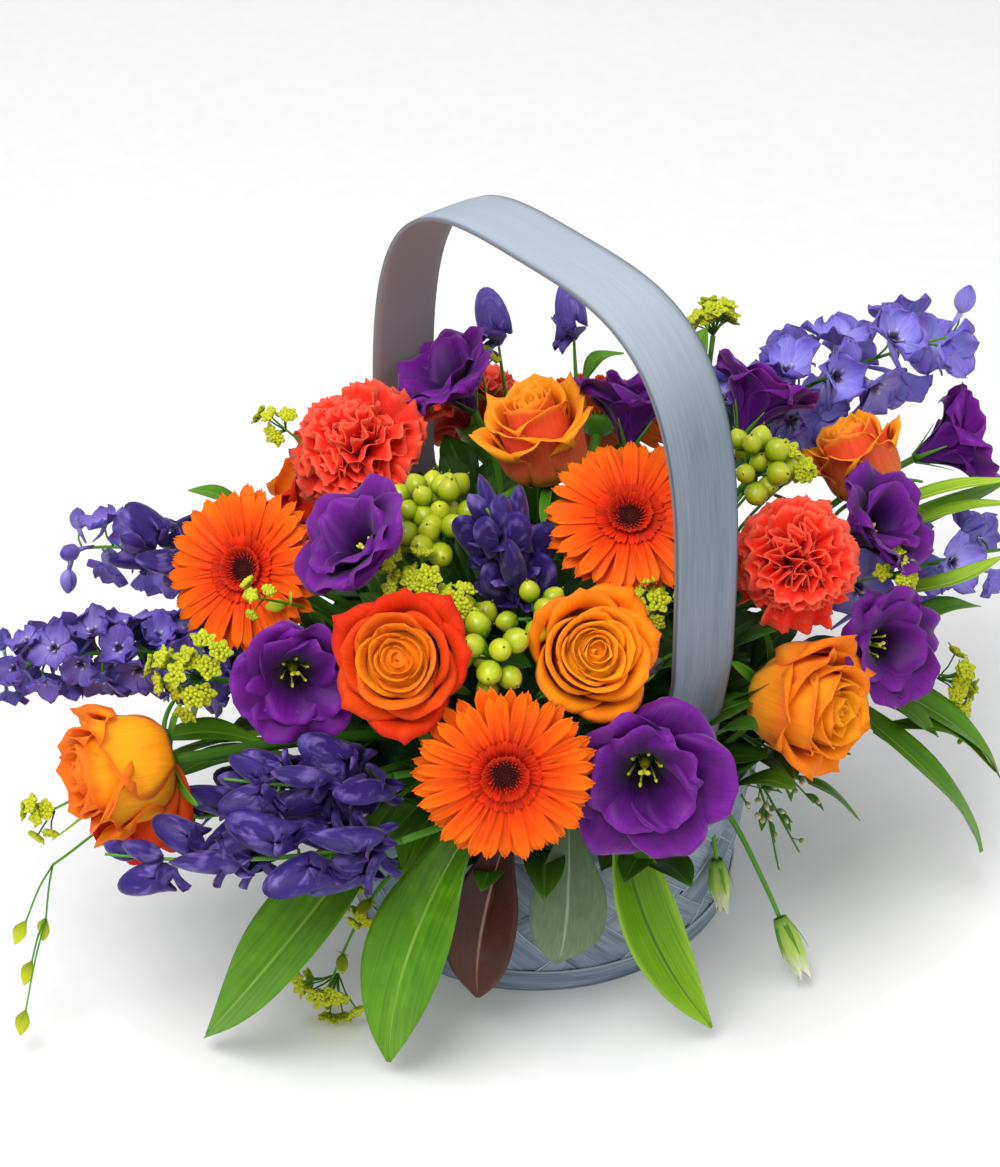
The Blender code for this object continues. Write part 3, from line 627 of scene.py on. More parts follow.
def carnation(name, seed, stuff):
    look = carnationLook
    rng = np.random.default_rng(seed)
    back, axis, radius, _, place = headOf(name, 1.45)
    skin, green = Skin(), Skin()
    for i in range(look["petals"]):
        t = ((i + 0.5) / look["petals"]) ** 0.8
        length = (1.06 - 0.04 * t) * rng.uniform(0.84, 1.16)
        tipClimb = 92 - 125 * t + rng.normal(0, 10)
        wide = (0.20 + 0.16 * t) * rng.uniform(0.9, 1.15)
        waves, phase, second = rng.uniform(2.2, 3.6), rng.uniform(0, 6.3), rng.uniform(0, 6.3)
        notch = rng.uniform(0, 6.3)

        def frill(u, v):
            fine = 0.055 * np.sin(2.7 * waves * v + second + 4 * u)
            return u**2 * (0.10 * np.sin(waves * math.pi * v + phase) + fine)

        grid = petalGrid(
            10, 21, (0.03 + 0.14 * t, look["mouth"]),
            lambda v: length * (1 - 0.12 * v**2 + 0.055 * abs((v * 4.5 + notch) % 1 - 0.5) * 2),
            lambda u, v: np.radians(84 + (tipClimb - 84) * smooth(u * 1.15)),
            lambda u: 0.04 + wide * 1.35 * smooth(u) ** 0.9, wrap=0.35, lift=frill)
        spin = i * goldenTurn + rng.normal(0, 0.1)
        # painted shade, darkest at the petal's foot deep in the calyx
        deep = (0.42 + 0.58 * smooth(np.linspace(0, 1, 10) * 1.1))[:, None]
        skin.sheet(place(turned(grid, spin)), look["thick"], rng.random(), deep, edge=0.5)
    for i in range(look["hanging"].get(name, 0)):  # outer petals that have dropped outwards
        spin = look["hangTurn"] + (i - 1.5) * 0.42 + rng.normal(0, 0.08)
        waves, phase, long = rng.uniform(1.8, 2.8), rng.uniform(0, 6.3), rng.uniform(1.05, 1.3)
        grid = petalGrid(
            12, 17, (0.16, look["mouth"]),
            lambda v: long * (1 - 0.1 * v**2 + 0.05 * abs((v * 4.2 + phase) % 1 - 0.5)),
            lambda u, v: np.radians(40 - 75 * smooth(u * 1.3)), lambda u: 0.05 + 0.42 * smooth(u) ** 0.8,
            wrap=0.3, lift=lambda u, v: u**1.8 * 0.09 * np.sin(waves * math.pi * v + phase))
        skin.sheet(place(turned(grid, spin)), look["thick"], rng.random(), 0.95, edge=0.5)
    skin.piece(name + "_petals", stuff["carnationPetal"], "coral", (name,))
    t = np.linspace(0, 1, 8)
    path = back + np.outer((t * 0.66 - 0.12) * radius, axis)
    green.tube(path, radius * (0.10 + 0.17 * smooth(t * 1.6)), 14, deep=0.9)
    for i in range(5):
        grid = bract(5, 5, (0.255, 0.5), 0.16, 70, 0, 0.13, 0.9, wrap=1.0)
        green.sheet(place(turned(grid, fifthTurn * i)), 0.5 * mm, rng.random())
    greenPieces(green, name, "_calyx", stuff["greenStemSkin"])


lisianthusLook = dict(  # petals in each layer, and how far each bloom has opened
    outer=6, inner=5, long=1.62, wide=0.82, thick=0.4 * mm,
    opened=dict(front=0.72, left=0.45, low_right=0.7, centre=0.5, high=0.45, high_left=0.5, mid_right=0.4,
                far_right=0.12, right=0.55, rear=0.8))


def lisianthus(name, seed, stuff, opening):
    look = lisianthusLook
    rng = np.random.default_rng(seed)
    back, axis, radius, axes, place = headOf(name, 1.25)
    skin, middle, green = Skin(), Skin(), Skin()
    for layer, count in ((0, look["outer"]), (1, look["inner"])):
        for i in range(count):
            length = (look["long"] - 0.22 * layer) * rng.uniform(0.95, 1.04)
            foot, rim = (70 + 8 * layer, 44 - 34 * opening + 20 * layer + rng.normal(0, 12))
            wide = (look["wide"] - 0.10 * layer) * rng.uniform(0.92, 1.08)
            waves, phase, amount = rng.uniform(1.4, 2.6), rng.uniform(0, 6.3), rng.uniform(0.07, 0.15)
            peak, curl = rng.uniform(0.0, 0.05), rng.uniform(5, 75)

            def climb(u, v):
                rolled = curl * smooth((u - 0.78) / 0.22) * (0.3 + v**2)
                return np.radians(foot + (rim - foot) * smooth((u - 0.15) / 0.7) - rolled)

            grid = petalGrid(
                15, 15, (0.12, 0.05),
                lambda v: length * (1 - 0.07 * v**2 - 0.12 * v**6 + peak * np.exp(-(v / 0.22) ** 2)), climb,
                lambda u: wide * (0.16 + 0.84 * smooth(u / 0.72)) * rounded(u, 0.68, 0.45, 0.12), wrap=0.9,
                lift=lambda u, v: amount * u**2 * np.sin(waves * math.pi * v + phase) * (0.25 + abs(v)))
            spin = 2 * math.pi * (i + 0.5 * layer) / count + rng.normal(0, 0.08)
            skin.sheet(place(turned(grid, spin)), look["thick"], rng.random())
    skin.piece(name + "_petals", stuff["lisianthusPetal"], "purple", (name,))
    # the ovary with its two-lobed stigma, then six stamens round it
    middle.egg(place(np.array([0, 0, 0.10])), axis, 0.38 * radius, 0.08 * radius, 10, 8, deep=0.8, fat=0.4)
    middle.tube(place(np.array([[0, 0, 0.46], [0, 0, 0.60], [0.01, 0, 0.70]])), 0.028 * radius, 6)
    for side in (-1, 1):
        lobe = (side * 0.8, 0.1, 0.6) @ axes
        middle.egg(place(np.array([0.0, 0, 0.68])), lobe, 0.11 * radius, 0.04 * radius, 8, 6)
    for i in range(6):
        spin = 1.0472 * i + 0.3
        at = lambda out, up: np.array([out * math.cos(spin), out * math.sin(spin), up])
        middle.tube(place(np.array([at(0.10, 0.12), at(0.17, 0.35), at(0.22, 0.56)])), 0.014 * radius, 6)
        middle.egg(place(at(0.19, 0.53)), at(0.9, 0.9) @ axes, 0.12 * radius, 0.028 * radius, 6, 5, tone=0.9)
    middle.piece(name + "_stamens", stuff["stamenAndStigma"], "lime")
    for i in range(5):
        grid = bract(7, 3, (0.08, -0.02), 0.75, 58, -8, 0.05, 1, 0.008)
        green.sheet(place(turned(grid, fifthTurn * i)), 0.5 * mm, rng.random())
    green.egg(back - axis * 0.06 * radius, axis, 0.25 * radius, 0.13 * radius, 10, 6)
    greenPieces(green, name, "_sepals", stuff["greenStemSkin"])


def makeBlooms(stuff):
    for i, name in enumerate(("gerbera_front", "gerbera_left", "gerbera_right", "gerbera_rear")):
        gerbera(name, 10 + i, stuff)
    for i, name in enumerate(roseKinds):
        rose(name, 20 + i, stuff)
    for i, name in enumerate(("carnation_left", "carnation_right", "carnation_rear")):
        carnation(name, 30 + i, stuff)
    for i, (name, opening) in enumerate(lisianthusLook["opened"].items()):
        lisianthus("lisianthus_" + name, 40 + i, stuff, opening)
    print("blooms made")


spikeLook = dict(  # hoods or florets on each spike, and their length in millimetres
    monkshood_centre=(13, 33), monkshood_tall_left=(1, 28), monkshood_tall_right=(1, 29),
    monkshood_left=(8, 33), monkshood_low_inner=(9, 31), monkshood_low_front=(11, 33),
    monkshood_low_outer=(11, 32), delphinium_left=(46, 15), delphinium_behind=(22, 21),
    delphinium_right=(17, 18), delphinium_rear=(20, 17))
hoodLook = dict(  # angles of the curl, then shares of the hood's length
    arc=(-30, 200), sweep=86, long=0.34, tall=0.60, wide=0.25, shares=((0.86,), (0.84,), (1.12,)))
floretLook = dict(sepals=5, bees=4, stalk=0.95)
tallHood = dict(at=0.74, facing=(-1.0, 0.15, -0.1), sway=0.5, rise=0.5)  # the lone upright hoods
budsFrom = dict(monkshood=0.86, delphinium=0.82, full=0.97)  # share of the spike's length


def hood(skin, foot, axes, size, rng):
    # a helmet: one curled sheet from the beak over the crown and down the back, with a crease along its top
    look, tone = hoodLook, rng.random()
    sweep = math.radians(look["sweep"])
    alpha = np.linspace(*np.radians(look["arc"]), 17)[:, None]
    beta = np.linspace(-sweep, sweep, 13)[None, :]
    crease = 1 + 0.07 * np.exp(-(beta / 0.22) ** 2)
    x = look["long"] * np.cos(alpha) * np.cos(beta) * crease
    z = (look["tall"] * np.sin(alpha) * np.cos(beta) + 0.40) * crease
    y = look["wide"] * np.sin(beta) * (1 - 0.30 * z) + 0 * alpha
    x = x + 0.26 * smooth((0.40 - z) * 1.8) * (x > 0) + 0.12 * z
    z = z - 0.10 * y**2
    grid = (np.stack([x, y, z], -1) * size) @ axes + foot
    # painted shade, darker low on the hood
    skin.sheet(grid, 0.5 * mm, tone, 0.7 + 0.3 * smooth(z * 1.3), edge=0.8)
    for side in (-1, 1):  # a broad sepal at the side and a narrow one below it
        for spin, long, wide, rise in ((58, 0.60, 0.30, 30), (20, 0.44, 0.13, -22)):
            long, wide = long * rng.uniform(0.9, 1.1), wide * rng.uniform(0.9, 1.1)
            sepal = petalGrid(9, 9, (0.05, 0.02), lambda v: long * (1 - 0.12 * v**2),
                              lambda u, v: np.radians(rise + 40 * (0.6 - u)), lambda u: wide * oval(u, 0.1),
                              lift=lambda u, v: 0.10 * v**2 + 0.03 * np.sin(5 * v + 9 * tone) * u)
            grid = seated(sepal, side * math.radians(spin), size, axes, foot)
            skin.sheet(grid, 0.45 * mm, 0.2 + 0.8 * tone, 0.95)


def floret(skin, bee, foot, axes, size, rng):  # open sepals, a spur behind them and a bee of small petals
    tone, cup = rng.random(), rng.uniform(20, 62)
    for i in range(floretLook["sepals"]):
        long, wide = rng.uniform(0.85, 1.15), rng.uniform(0.44, 0.58)
        curl, phase = rng.uniform(-20, 45), rng.uniform(0, 6.3)
        grid = petalGrid(8, 9, (0.08, 0.0), lambda v: long * (1 - 0.10 * v**2),
                         lambda u, v: np.radians(cup - curl * u),
                         lambda u: wide * (0.25 + 0.75 * smooth(u / 0.5)) * rounded(u, 0.5, 0.54, 0.1),
                         lift=lambda u, v: 0.13 * u * np.sin(3.4 * v + phase) + 0.08 * v**2)
        grid = seated(grid, fifthTurn * i + rng.normal(0, 0.08), size, axes, foot)
        skin.sheet(grid, 0.4 * mm, tone * 0.7 + 0.3 * rng.random())
    back = -axes[2] * 0.6 - axes[1] * 0.8
    spur = [foot, foot + back * size * 0.5, foot + back * size - axes[1] * size * 0.3]
    skin.tube(spur, np.array([0.11, 0.08, 0.03]) * size, 6, tone)
    for i in range(floretLook["bees"]):
        grid = bract(4, 3, (0.03, 0.05), 0.30, 58, -20, 0.12, 0.6)
        bee.sheet(seated(grid, 1.57 * i + 0.4, size, axes, foot), 0.35 * mm, rng.random())


def pointAt(line, t):
    return np.array([np.interp(t, np.linspace(0, 1, len(line)), line[:, k]) for k in range(3)])


def spike(name, seed, stuff):
    rng = np.random.default_rng(seed)
    centres = np.array([ring.mean(0) for ring in ringsOf(name)])
    line = curveThrough(centres[3:], 6)
    ways = np.gradient(line, axis=0)
    count, size = spikeLook[name][0], spikeLook[name][1] * mm
    monk = name.startswith("monkshood")
    tall = name.startswith("monkshood_tall")  # one upright hood at the end of a long stem
    full = name == "delphinium_behind"  # this one flowers right to its tip
    skin, bee, green = Skin(), Skin(), Skin()
    # painted shade on the lower stem
    green.tube(curveThrough(centres[:4], 4), 1.9 * mm, 8, deep=0.7)
    shown = line[:len(line) * 2 // 3] if tall else line
    green.tube(shown, np.linspace(1.8, 0.7, len(shown)) * mm, 8)
    for i in range(count):
        t = tallHood["at"] if tall else (i + 0.5) / count * 0.93 + 0.07
        at, way = pointAt(line, t), unit(pointAt(ways, t))
        spin, across = i * goldenTurn + seed, axesFor(way)
        out = unit(across[0] * math.cos(spin) + across[1] * math.sin(spin) + np.array([0, 0, 0.25]))
        grown = (1.05 - (0.15 if full else 0.5) * t**2) * rng.uniform(0.9, 1.08)
        if tall:
            east, north, up = tallHood["facing"]
            grown, out = 1.0, unit((east, north + tallHood["sway"] * (seed % 2), up))
            crown = unit(way * 1.15 + out * 0.12 + np.array([0, 0, tallHood["rise"]]))
            foot = at - crown * size * 0.42
        elif monk:
            crown = unit(way * 1.15 + out * 0.40 + np.array([0, 0, 0.15]))
            foot = at + out * size * 0.14 - crown * size * 0.25 * (t > 0.8)
            green.tube([at, at + out * size * 0.1, foot + crown * size * 0.08], 0.8 * mm, 6)
        if monk and t > budsFrom["monkshood"]:
            skin.egg(foot, crown, size * grown, size * grown * 0.26, 8, 7, rng.random(), fat=0.45)
        elif monk:
            side = unit(np.cross(crown, out))
            axes = np.array([np.cross(side, crown), side, crown])
            hood(skin, foot, axes * hoodLook["shares"], size * grown, rng)
        else:
            stalk = (floretLook["stalk"] - 0.35 * t) * size
            foot = at + out * stalk + way * stalk * 0.35
            face = unit(out + way * 0.25 + np.array([0, 0, -0.15]))
            green.tube([at, at + out * stalk * 0.5 + way * stalk * 0.3, foot], 0.6 * mm, 6)
            if t > budsFrom["full" if full else "delphinium"]:
                skin.egg(foot, face, size * 0.8, size * 0.28, 8, 7, rng.random(), fat=0.45)
                spur = foot - face * size * 0.5 - way * size * 0.2
                skin.tube([foot, spur], np.array([0.09, 0.03]) * size, 6)
            else:
                floret(skin, bee, foot, axesFor(face), size * grown, rng)
    if monk:
        finish = stuff["monkshoodUpperHood" if tall else "monkshoodHood"]
        skin.piece(name + "_hoods", finish, "blue", (name,))
    else:
        pale = name in ("delphinium_behind", "delphinium_right")
        finish = stuff["delphiniumPaleSepal" if pale else "delphiniumSepal"]
        skin.piece(name + "_florets", finish, "lilac", (name,))
        bee.piece(name + "_bees", stuff["delphiniumBee"], "lilac")
    green.piece(name + "_stem", stuff["greenStemSkin"], "leaf")


berryLook = dict(
    hypericum_centre=14, hypericum_front=8, hypericum_right=9,  # berries on each stem
    size=5.8, seat=(0.62, 0.86), long=2.25)
umbelLook = dict(  # ray and floret are shares of the radius
    rays=15, stamens=15, ray=(0.6, 1.4), floret=(0.46, 0.62), largest=7 * mm)


def berrySpray(fruit, green, foot, axis, radius, count, rng):
    look, axes = berryLook, axesFor(axis)
    for i in range(count):
        up = 1 - 1.15 * (i + 0.5) / count
        out = math.sqrt(max(0, 1 - up * up))
        spin = i * goldenTurn + rng.normal(0, 0.2)
        way = np.array([out * math.cos(spin), out * math.sin(spin), up]) @ axes
        way = unit(way + axis * 0.35)
        seat = foot + axis * radius * 0.45 + way * radius * rng.uniform(*look["seat"])
        grown = look["size"] * mm * rng.uniform(0.85, 1.1)
        fork = foot + axis * radius * 0.25 + way * radius * 0.25
        green.tube([foot - axis * radius * 0.3, fork, seat], 0.8 * mm, 6)
        fruit.egg(seat, way, grown * look["long"], grown, 14, 11, rng.random(), fat=0.46)
        style = [seat + way * grown * 2.2, seat + way * grown * 2.5]
        # the style, with painted shade
        fruit.tube(style, np.array([0.12, 0.03]) * grown, 6, 0.2, 0.5)
        local = axesFor(way)
        for k in range(5):
            grid = bract(4, 3, (0.15, 0.0), 0.85, 20, 30, 0.34, 0.8)
            green.sheet(seated(grid, fifthTurn * k, grown, local, seat), 0.35 * mm, rng.random())


def umbel(flowers, green, foot, axis, radius, rng, rays):
    look, axes = umbelLook, axesFor(axis)
    for i in range(rays):
        lean = 0.0 if i == 0 else rng.uniform(0.45, 1.0)
        spin = i * goldenTurn + rng.normal(0, 0.25)
        way = np.array(
            [math.sin(lean) * math.cos(spin), math.sin(lean) * math.sin(spin), math.cos(lean)]) @ axes
        reach = radius * rng.uniform(*look["ray"])
        tip = foot + way * reach
        green.tube([foot, foot + way * reach * 0.5 + axis * radius * 0.08, tip], 0.45 * mm, 6)
        local = axesFor(way)
        small = min(radius * rng.uniform(*look["floret"]), look["largest"])
        for k in range(5):
            grid = petalGrid(5, 3, (0.04, 0.0), lambda v: 1.0 + 0 * v, lambda u, v: np.radians(30 - 10 * u),
                             lambda u: 0.34 * oval(u, 0.08, 2, 1), lift=lambda u, v: 0.08 * v**2 + 0 * u)
            flowers.sheet(seated(grid, fifthTurn * k + i, small, local, tip), 0.35 * mm, rng.random())
        for k in range(look["stamens"]):
            out, spin = small * 0.66 * math.sqrt((k + 0.5) / look["stamens"]), k * 2.4
            at = tip + (np.array([out * math.cos(spin), out * math.sin(spin), small * 0.10]) @ local)
            flowers.tube([tip, at], 0.22 * mm, 4, 0.4)
            flowers.egg(at, way, 2.6 * mm, 1.4 * mm, 6, 4, rng.random())


def berriesAndUmbels(stuff):
    for i, name in enumerate(("hypericum_centre", "hypericum_front", "hypericum_right")):
        back, axis, radius = headOf(name, 1.7)[:3]
        fruit, green = Skin(), Skin()
        berrySpray(fruit, green, back, axis, radius, berryLook[name], np.random.default_rng(60 + i))
        fruit.piece(name + "_berries", stuff["hypericumBerry"], "berry", (name,))
        greenPieces(green, name, "_sepals", stuff["greenStemSkin"])
    for i, name in enumerate(("bupleurum_left", "bupleurum_high", "bupleurum_rear")):
        back, axis, radius = headOf(name, 1.7)[:3]
        flowers, green = Skin(), Skin()
        umbel(flowers, green, back, axis, radius * 1.05, np.random.default_rng(70 + i), umbelLook["rays"])
        flowers.piece(name + "_umbel", stuff["bupleurumFlower"], "lime", (name,))
        greenPieces(green, name, "_rays", stuff["greenStemSkin"])
    print("berries and umbels made")


leafLook = dict(
    shares=(0.14, 0.55, 0.92, 1.0, 0.86, 0.52, 0.05),  # half width along a blade, from stalk to tip
    wave=0.05, thick=0.6 * mm,
    bands=((18, 14, 132), (15, 30, 136), (12, 46, 132), (8, 66, 126)),  # filler sprigs, climb, reach in mm
    spread=40, leaves=8, long=40 * mm, half=9.5 * mm,
    clearOf=2.62, clearShare=0.84)  # heading and shortening of the sprigs behind the big front blade


def bladeGrid(path, sides, half, rng, rows, columns, fold):
    t = np.linspace(0, 1, rows)
    line, side = (np.stack([np.interp(t, np.linspace(0, 1, len(found)), found[:, k]) for k in range(3)], -1)
                  for found in (path, sides))
    way = np.gradient(line, axis=0)
    way /= np.linalg.norm(way, axis=1, keepdims=True)
    side -= way * (side * way).sum(1, keepdims=True)
    side /= np.linalg.norm(side, axis=1, keepdims=True)
    up = np.cross(side, way)
    shares = curveThrough(np.array(leafLook["shares"])[:, None], 6)[:, 0]
    wide = half * np.maximum(np.interp(t, np.linspace(0, 1, len(shares)), shares), 0.03)[:, None]
    t, v = t[:, None], np.linspace(-1, 1, columns)[None, :]
    phase = rng.uniform(0, 6.3, 2)
    swell = np.sin(7 * t + phase[0]) + 0.6 * np.sin(13 * t * np.sign(v) + phase[1])
    ripple = leafLook["wave"] * half * v * swell
    groove = 0.35 * mm * np.exp(-(v / 0.09) ** 2)
    lifted = wide * fold * abs(v) ** 1.3 - groove + ripple
    return line[:, None] + side[:, None] * (wide * v)[..., None] + up[:, None] * lifted[..., None]


def frameLeaf(name, seed, finish, slot, fold):
    rng = np.random.default_rng(seed)
    rings = ringsOf(name)
    centres = np.array([ring.mean(0) for ring in rings])
    # the lily blade bends back over itself, so its heading is read where it leaves the bouquet
    outward = unit((centres[3 if name == "leaf_lily" else -1] - heart) * (1, 1, 0))
    side = np.cross(outward, (0, 0, 1))
    half = max(np.linalg.norm(ring - ring.mean(0), axis=1).max() for ring in rings)
    skin = Skin()
    blade = bladeGrid(curveThrough(centres[2:], 6), np.array([side, side]), half, rng, 33, 13, fold)
    skin.sheet(blade[:, ::-1], leafLook["thick"], rng.random())
    path = curveThrough(centres[:3], 6)
    skin.tube(path, np.linspace(1.5, 1.1, len(path)) * mm, 8, deep=0.8)
    skin.piece(name + "_blade", finish, slot, (name,))


def looseLeaf(skin, points, half, rng, rows=11, columns=5, fold=0.25, deep=1.0):
    path = curveThrough(np.asarray(points), 6)
    sides = np.cross(np.gradient(path, axis=0), (0, 0, 1))
    sides /= np.linalg.norm(sides, axis=1, keepdims=True) + 1e-9
    blade = bladeGrid(path, sides, half, rng, rows, columns, fold)
    skin.sheet(blade[:, ::-1], 0.5 * mm, rng.random(), deep)


# deep is painted shade for the sprigs inside the bouquet
def fillerSprig(skin, start, way, reach, rng, deep=0.85):
    look, side = leafLook, axesFor(way)[0]
    bend = way * reach * 0.5 + side * rng.normal(0, 0.06) * reach + np.array([0, 0, 0.08 * reach])
    stem = curveThrough([start, start + bend, start + way * reach - np.array([0, 0, 0.06 * reach])], 6)
    skin.tube(stem, np.linspace(1.4, 0.6, len(stem)) * mm, 6, 0.3, 0.7 * deep)
    for i in range(look["leaves"]):
        at = pointAt(stem, 0.42 + 0.58 * (i + 1) / look["leaves"])
        spin = (1 if i % 2 else -1) * rng.uniform(0.7, 1.3) if i < look["leaves"] - 1 else 0.0
        out = unit(way * math.cos(spin) + side * math.sin(spin) + np.array([0, 0, rng.uniform(-0.15, 0.35)]))
        long = look["long"] * rng.uniform(0.8, 1.15)
        sag = np.array([0, 0, rng.uniform(0.05, 0.22) * long])
        points = [at, at + out * long * 0.5 + sag * 0.4, at + out * long - sag * 0.5]
        looseLeaf(skin, points, look["half"] * rng.uniform(0.85, 1.1), rng, deep=deep)


def makeLeaves(stuff):
    look = leafLook
    kinds = dict(leaf_front_bronze=("bronzeLeaf", "bronze"), leaf_front_grey=("greyLeaf", "grey_leaf"),
                 leaf_lily=("lilyLeaf", "leaf"))
    for i, name in enumerate(sorted(n for n in nodes if n.startswith("leaf_"))):
        finish, slot = kinds.get(name, ("ruscusLeaf", "leaf"))
        frameLeaf(name, 80 + i, stuff[finish], slot, 0.75 if name == "leaf_lily" else 0.3)
    rng = np.random.default_rng(99)
    for band, (count, pitch, reach) in enumerate(look["bands"]):
        skin = Skin()
        for i in range(count):
            heading = 2 * math.pi * (i + 0.4 * band) / count + rng.normal(0, 0.1)
            climb = math.radians(pitch + rng.normal(0, 5))
            flat = math.cos(climb)
            way = np.array([math.cos(heading) * flat, math.sin(heading) * flat, math.sin(climb)])
            facing = band == 0 and math.cos(heading + look["clearOf"]) > 0.96
            room = look["clearShare"] if facing else 1.0  # clear of the big front blade
            start = heart + way * look["spread"] * mm
            far = reach * mm * rng.uniform(0.85, 1.1) * room - look["spread"] * mm
            fillerSprig(skin, start, way, far, rng)
        skin.piece("filler_foliage_%d" % (band + 1), stuff["fillerLeaf"], "leaf")
    print("leaves made")


# Small growth that fills the arrangement out, with its places in millimetres from the middle of the foot.
extraLook = dict(
    umbels=(  # foot of the spray, middle of its umbel, radius, rays
        ((60, -60, 110), (191, -116, 106), 19, 11), ((70, -60, 105), (187, -122, 90), 15, 9),
        ((-30, 50, 150), (-82, 117, 257), 13, 7), ((10, 40, 160), (32, 95, 262), 12, 7),
        ((-50, -20, 150), (-102, -26, 244), 15, 8), ((-50, -25, 150), (-92, -46, 240), 13, 7),
        ((-50, -15, 150), (-104, -4, 246), 11, 6), ((-10, -50, 150), (-14, -100, 234), 14, 7),
        ((60, -30, 150), (104, -60, 250), 14, 8), ((60, -35, 150), (112, -66, 244), 11, 6),
        ((70, -50, 130), (138, -112, 194), 14, 7), ((-110, 30, 120), (-266, 62, 128), 13, 6),
        ((-90, 20, 160), (-160, 22, 234), 9, 5), ((-70, -30, 112), (-146, -20, 78), 13, 6),
        ((-122, -38, 92), (-167, -3, 56), 12, 7), ((-124, -40, 92), (-166, -30, 20), 19, 12),
        ((-122, -42, 92), (-146, -34, 64), 10, 6)),
    airy=(  # far left spray of thin stems with a leaf at each end
        ((-262, 62, 95), (-282, 58, 72)), ((-262, 62, 95), (-270, 60, 66)), ((-270, 60, 66), (-282, 57, 46)),
        ((-270, 60, 66), (-293, 48, 26))),
    airyStem=((-120, 4, 104), (-165, 24, 120), (-220, 48, 118), (-262, 62, 95)),
    smoothLeaves=(  # three places along each leaf, then half its width
        ((122, -120, 105), (146, -146, 80), (172, -160, 26), 8.5),
        ((120, -118, 108), (156, -140, 102), (180, -156, 72), 6.5),
        ((84, -103, 84), (98, -116, 74), (114, -124, 52), 5),
        ((132, -108, 118), (140, -126, 114), (148, -142, 102), 7),
        ((148, -104, 150), (176, -112, 156), (200, -116, 148), 7),
        ((-203, 60, 146), (-180, 40, 152), (-160, 22, 146), 9),
        ((-206, 42, 134), (-178, 30, 142), (-146, 12, 136), 8.5),
        ((66, 52, 255), (76, 52, 266), (92, 50, 264), 5),
        ((124, 30, 238), (134, 40, 256), (144, 44, 264), 6),
        ((-96, -34, 122), (-116, -36, 108), (-126, -44, 92), 6),
        ((-92, 116, 200), (-108, 134, 214), (-116, 150, 212), 6),
        ((-90, -30, 190), (-112, -26, 206), (-134, -30, 214), 8),
        ((-92, -46, 126), (-112, -50, 112), (-128, -44, 84), 11),
        ((-88, -56, 124), (-110, -64, 108), (-122, -66, 80), 10),
        ((-96, -36, 124), (-122, -36, 112), (-138, -28, 92), 9),
        ((20, -80, 200), (30, -92, 222), (28, -108, 236), 8),
        ((-20, -96, 190), (-34, -112, 206), (-42, -122, 212), 8)),
    grass=(
        ((150, -50, 180), (196, -80, 202), (236, -98, 204), 5.5),
        ((140, -80, 158), (176, -114, 172), (208, -124, 182), 6),
        ((150, -60, 176), (204, -88, 192), (240, -104, 190), 4.5),
        ((-110, 30, 130), (-190, 50, 138), (-262, 60, 112), 3)),
    berries=(  # foot, middle, radius, count
        ((-40, 10, 180), (-58, 22, 246), 15, 8), ((-50, -5, 180), (-76, -4, 246), 15, 8),
        ((-50, -20, 160), (-80, -40, 212), 14, 7), ((-34, -38, 170), (-62, -68, 232), 11, 5),
        ((-30, -50, 160), (-42, -92, 204), 11, 5), ((60, -30, 180), (96, -52, 240), 13, 6)),
    creamStart=(34, -96, 140), creamBerries=9,
    creamEnds=((78, -124, 82), (66, -128, 58), (50, -130, 56), (40, -116, 92), (84, -122, 104)),
    buds=(  # stem places, length of the bud, its radius
        ((17, -104, 112), (33, -113, 84), (42, -130, 48), (43, -140, 34), 34, 6.5),
        ((20, -98, 104), (22, -104, 92), (22, -110, 78), (22, -113, 66), 30, 6.0)),
    thinBud=((10, -90, 180), (0, -98, 196), (-12, -102, 200), 20, 4.5))


def budFlower(bud, green, path, length, radius, rng):  # a furled bud: petals wrapped round each other
    line = curveThrough(path, 6)
    green.tube(line, np.linspace(1.6, 1.2, len(line)) * mm, 8)
    way = unit(line[-1] - line[-3])
    local, foot = axesFor(way), line[-1]
    bud.egg(foot, way, length * 0.8, radius * 0.8, 12, 9, 0.5, fat=0.42)
    for i in range(5):
        grid = petalGrid(11, 7, (0.10, 0.0), lambda v: 1.0 + 0.06 * (i % 2) - 0.1 * v**2,
                         lambda u, v: np.radians(74 + 26 * smooth(u * 1.4) - 14 * smooth((u - 0.8) / 0.2)),
                         lambda u: 0.20 * oval(u, 0.04, 1.8, 0.75), wrap=1.0)
        grid = turned(grid, fifthTurn * i + 0.3 * rng.random())
        bud.sheet((grid * length) @ local + foot, 0.4 * mm, rng.random())
        sepal = bract(7, 3, (0.08, -0.01), 0.62, 66, 20, 0.05, 0.9)
        green.sheet(seated(sepal, fifthTurn * i + 0.6, length, local, foot), 0.4 * mm, rng.random())


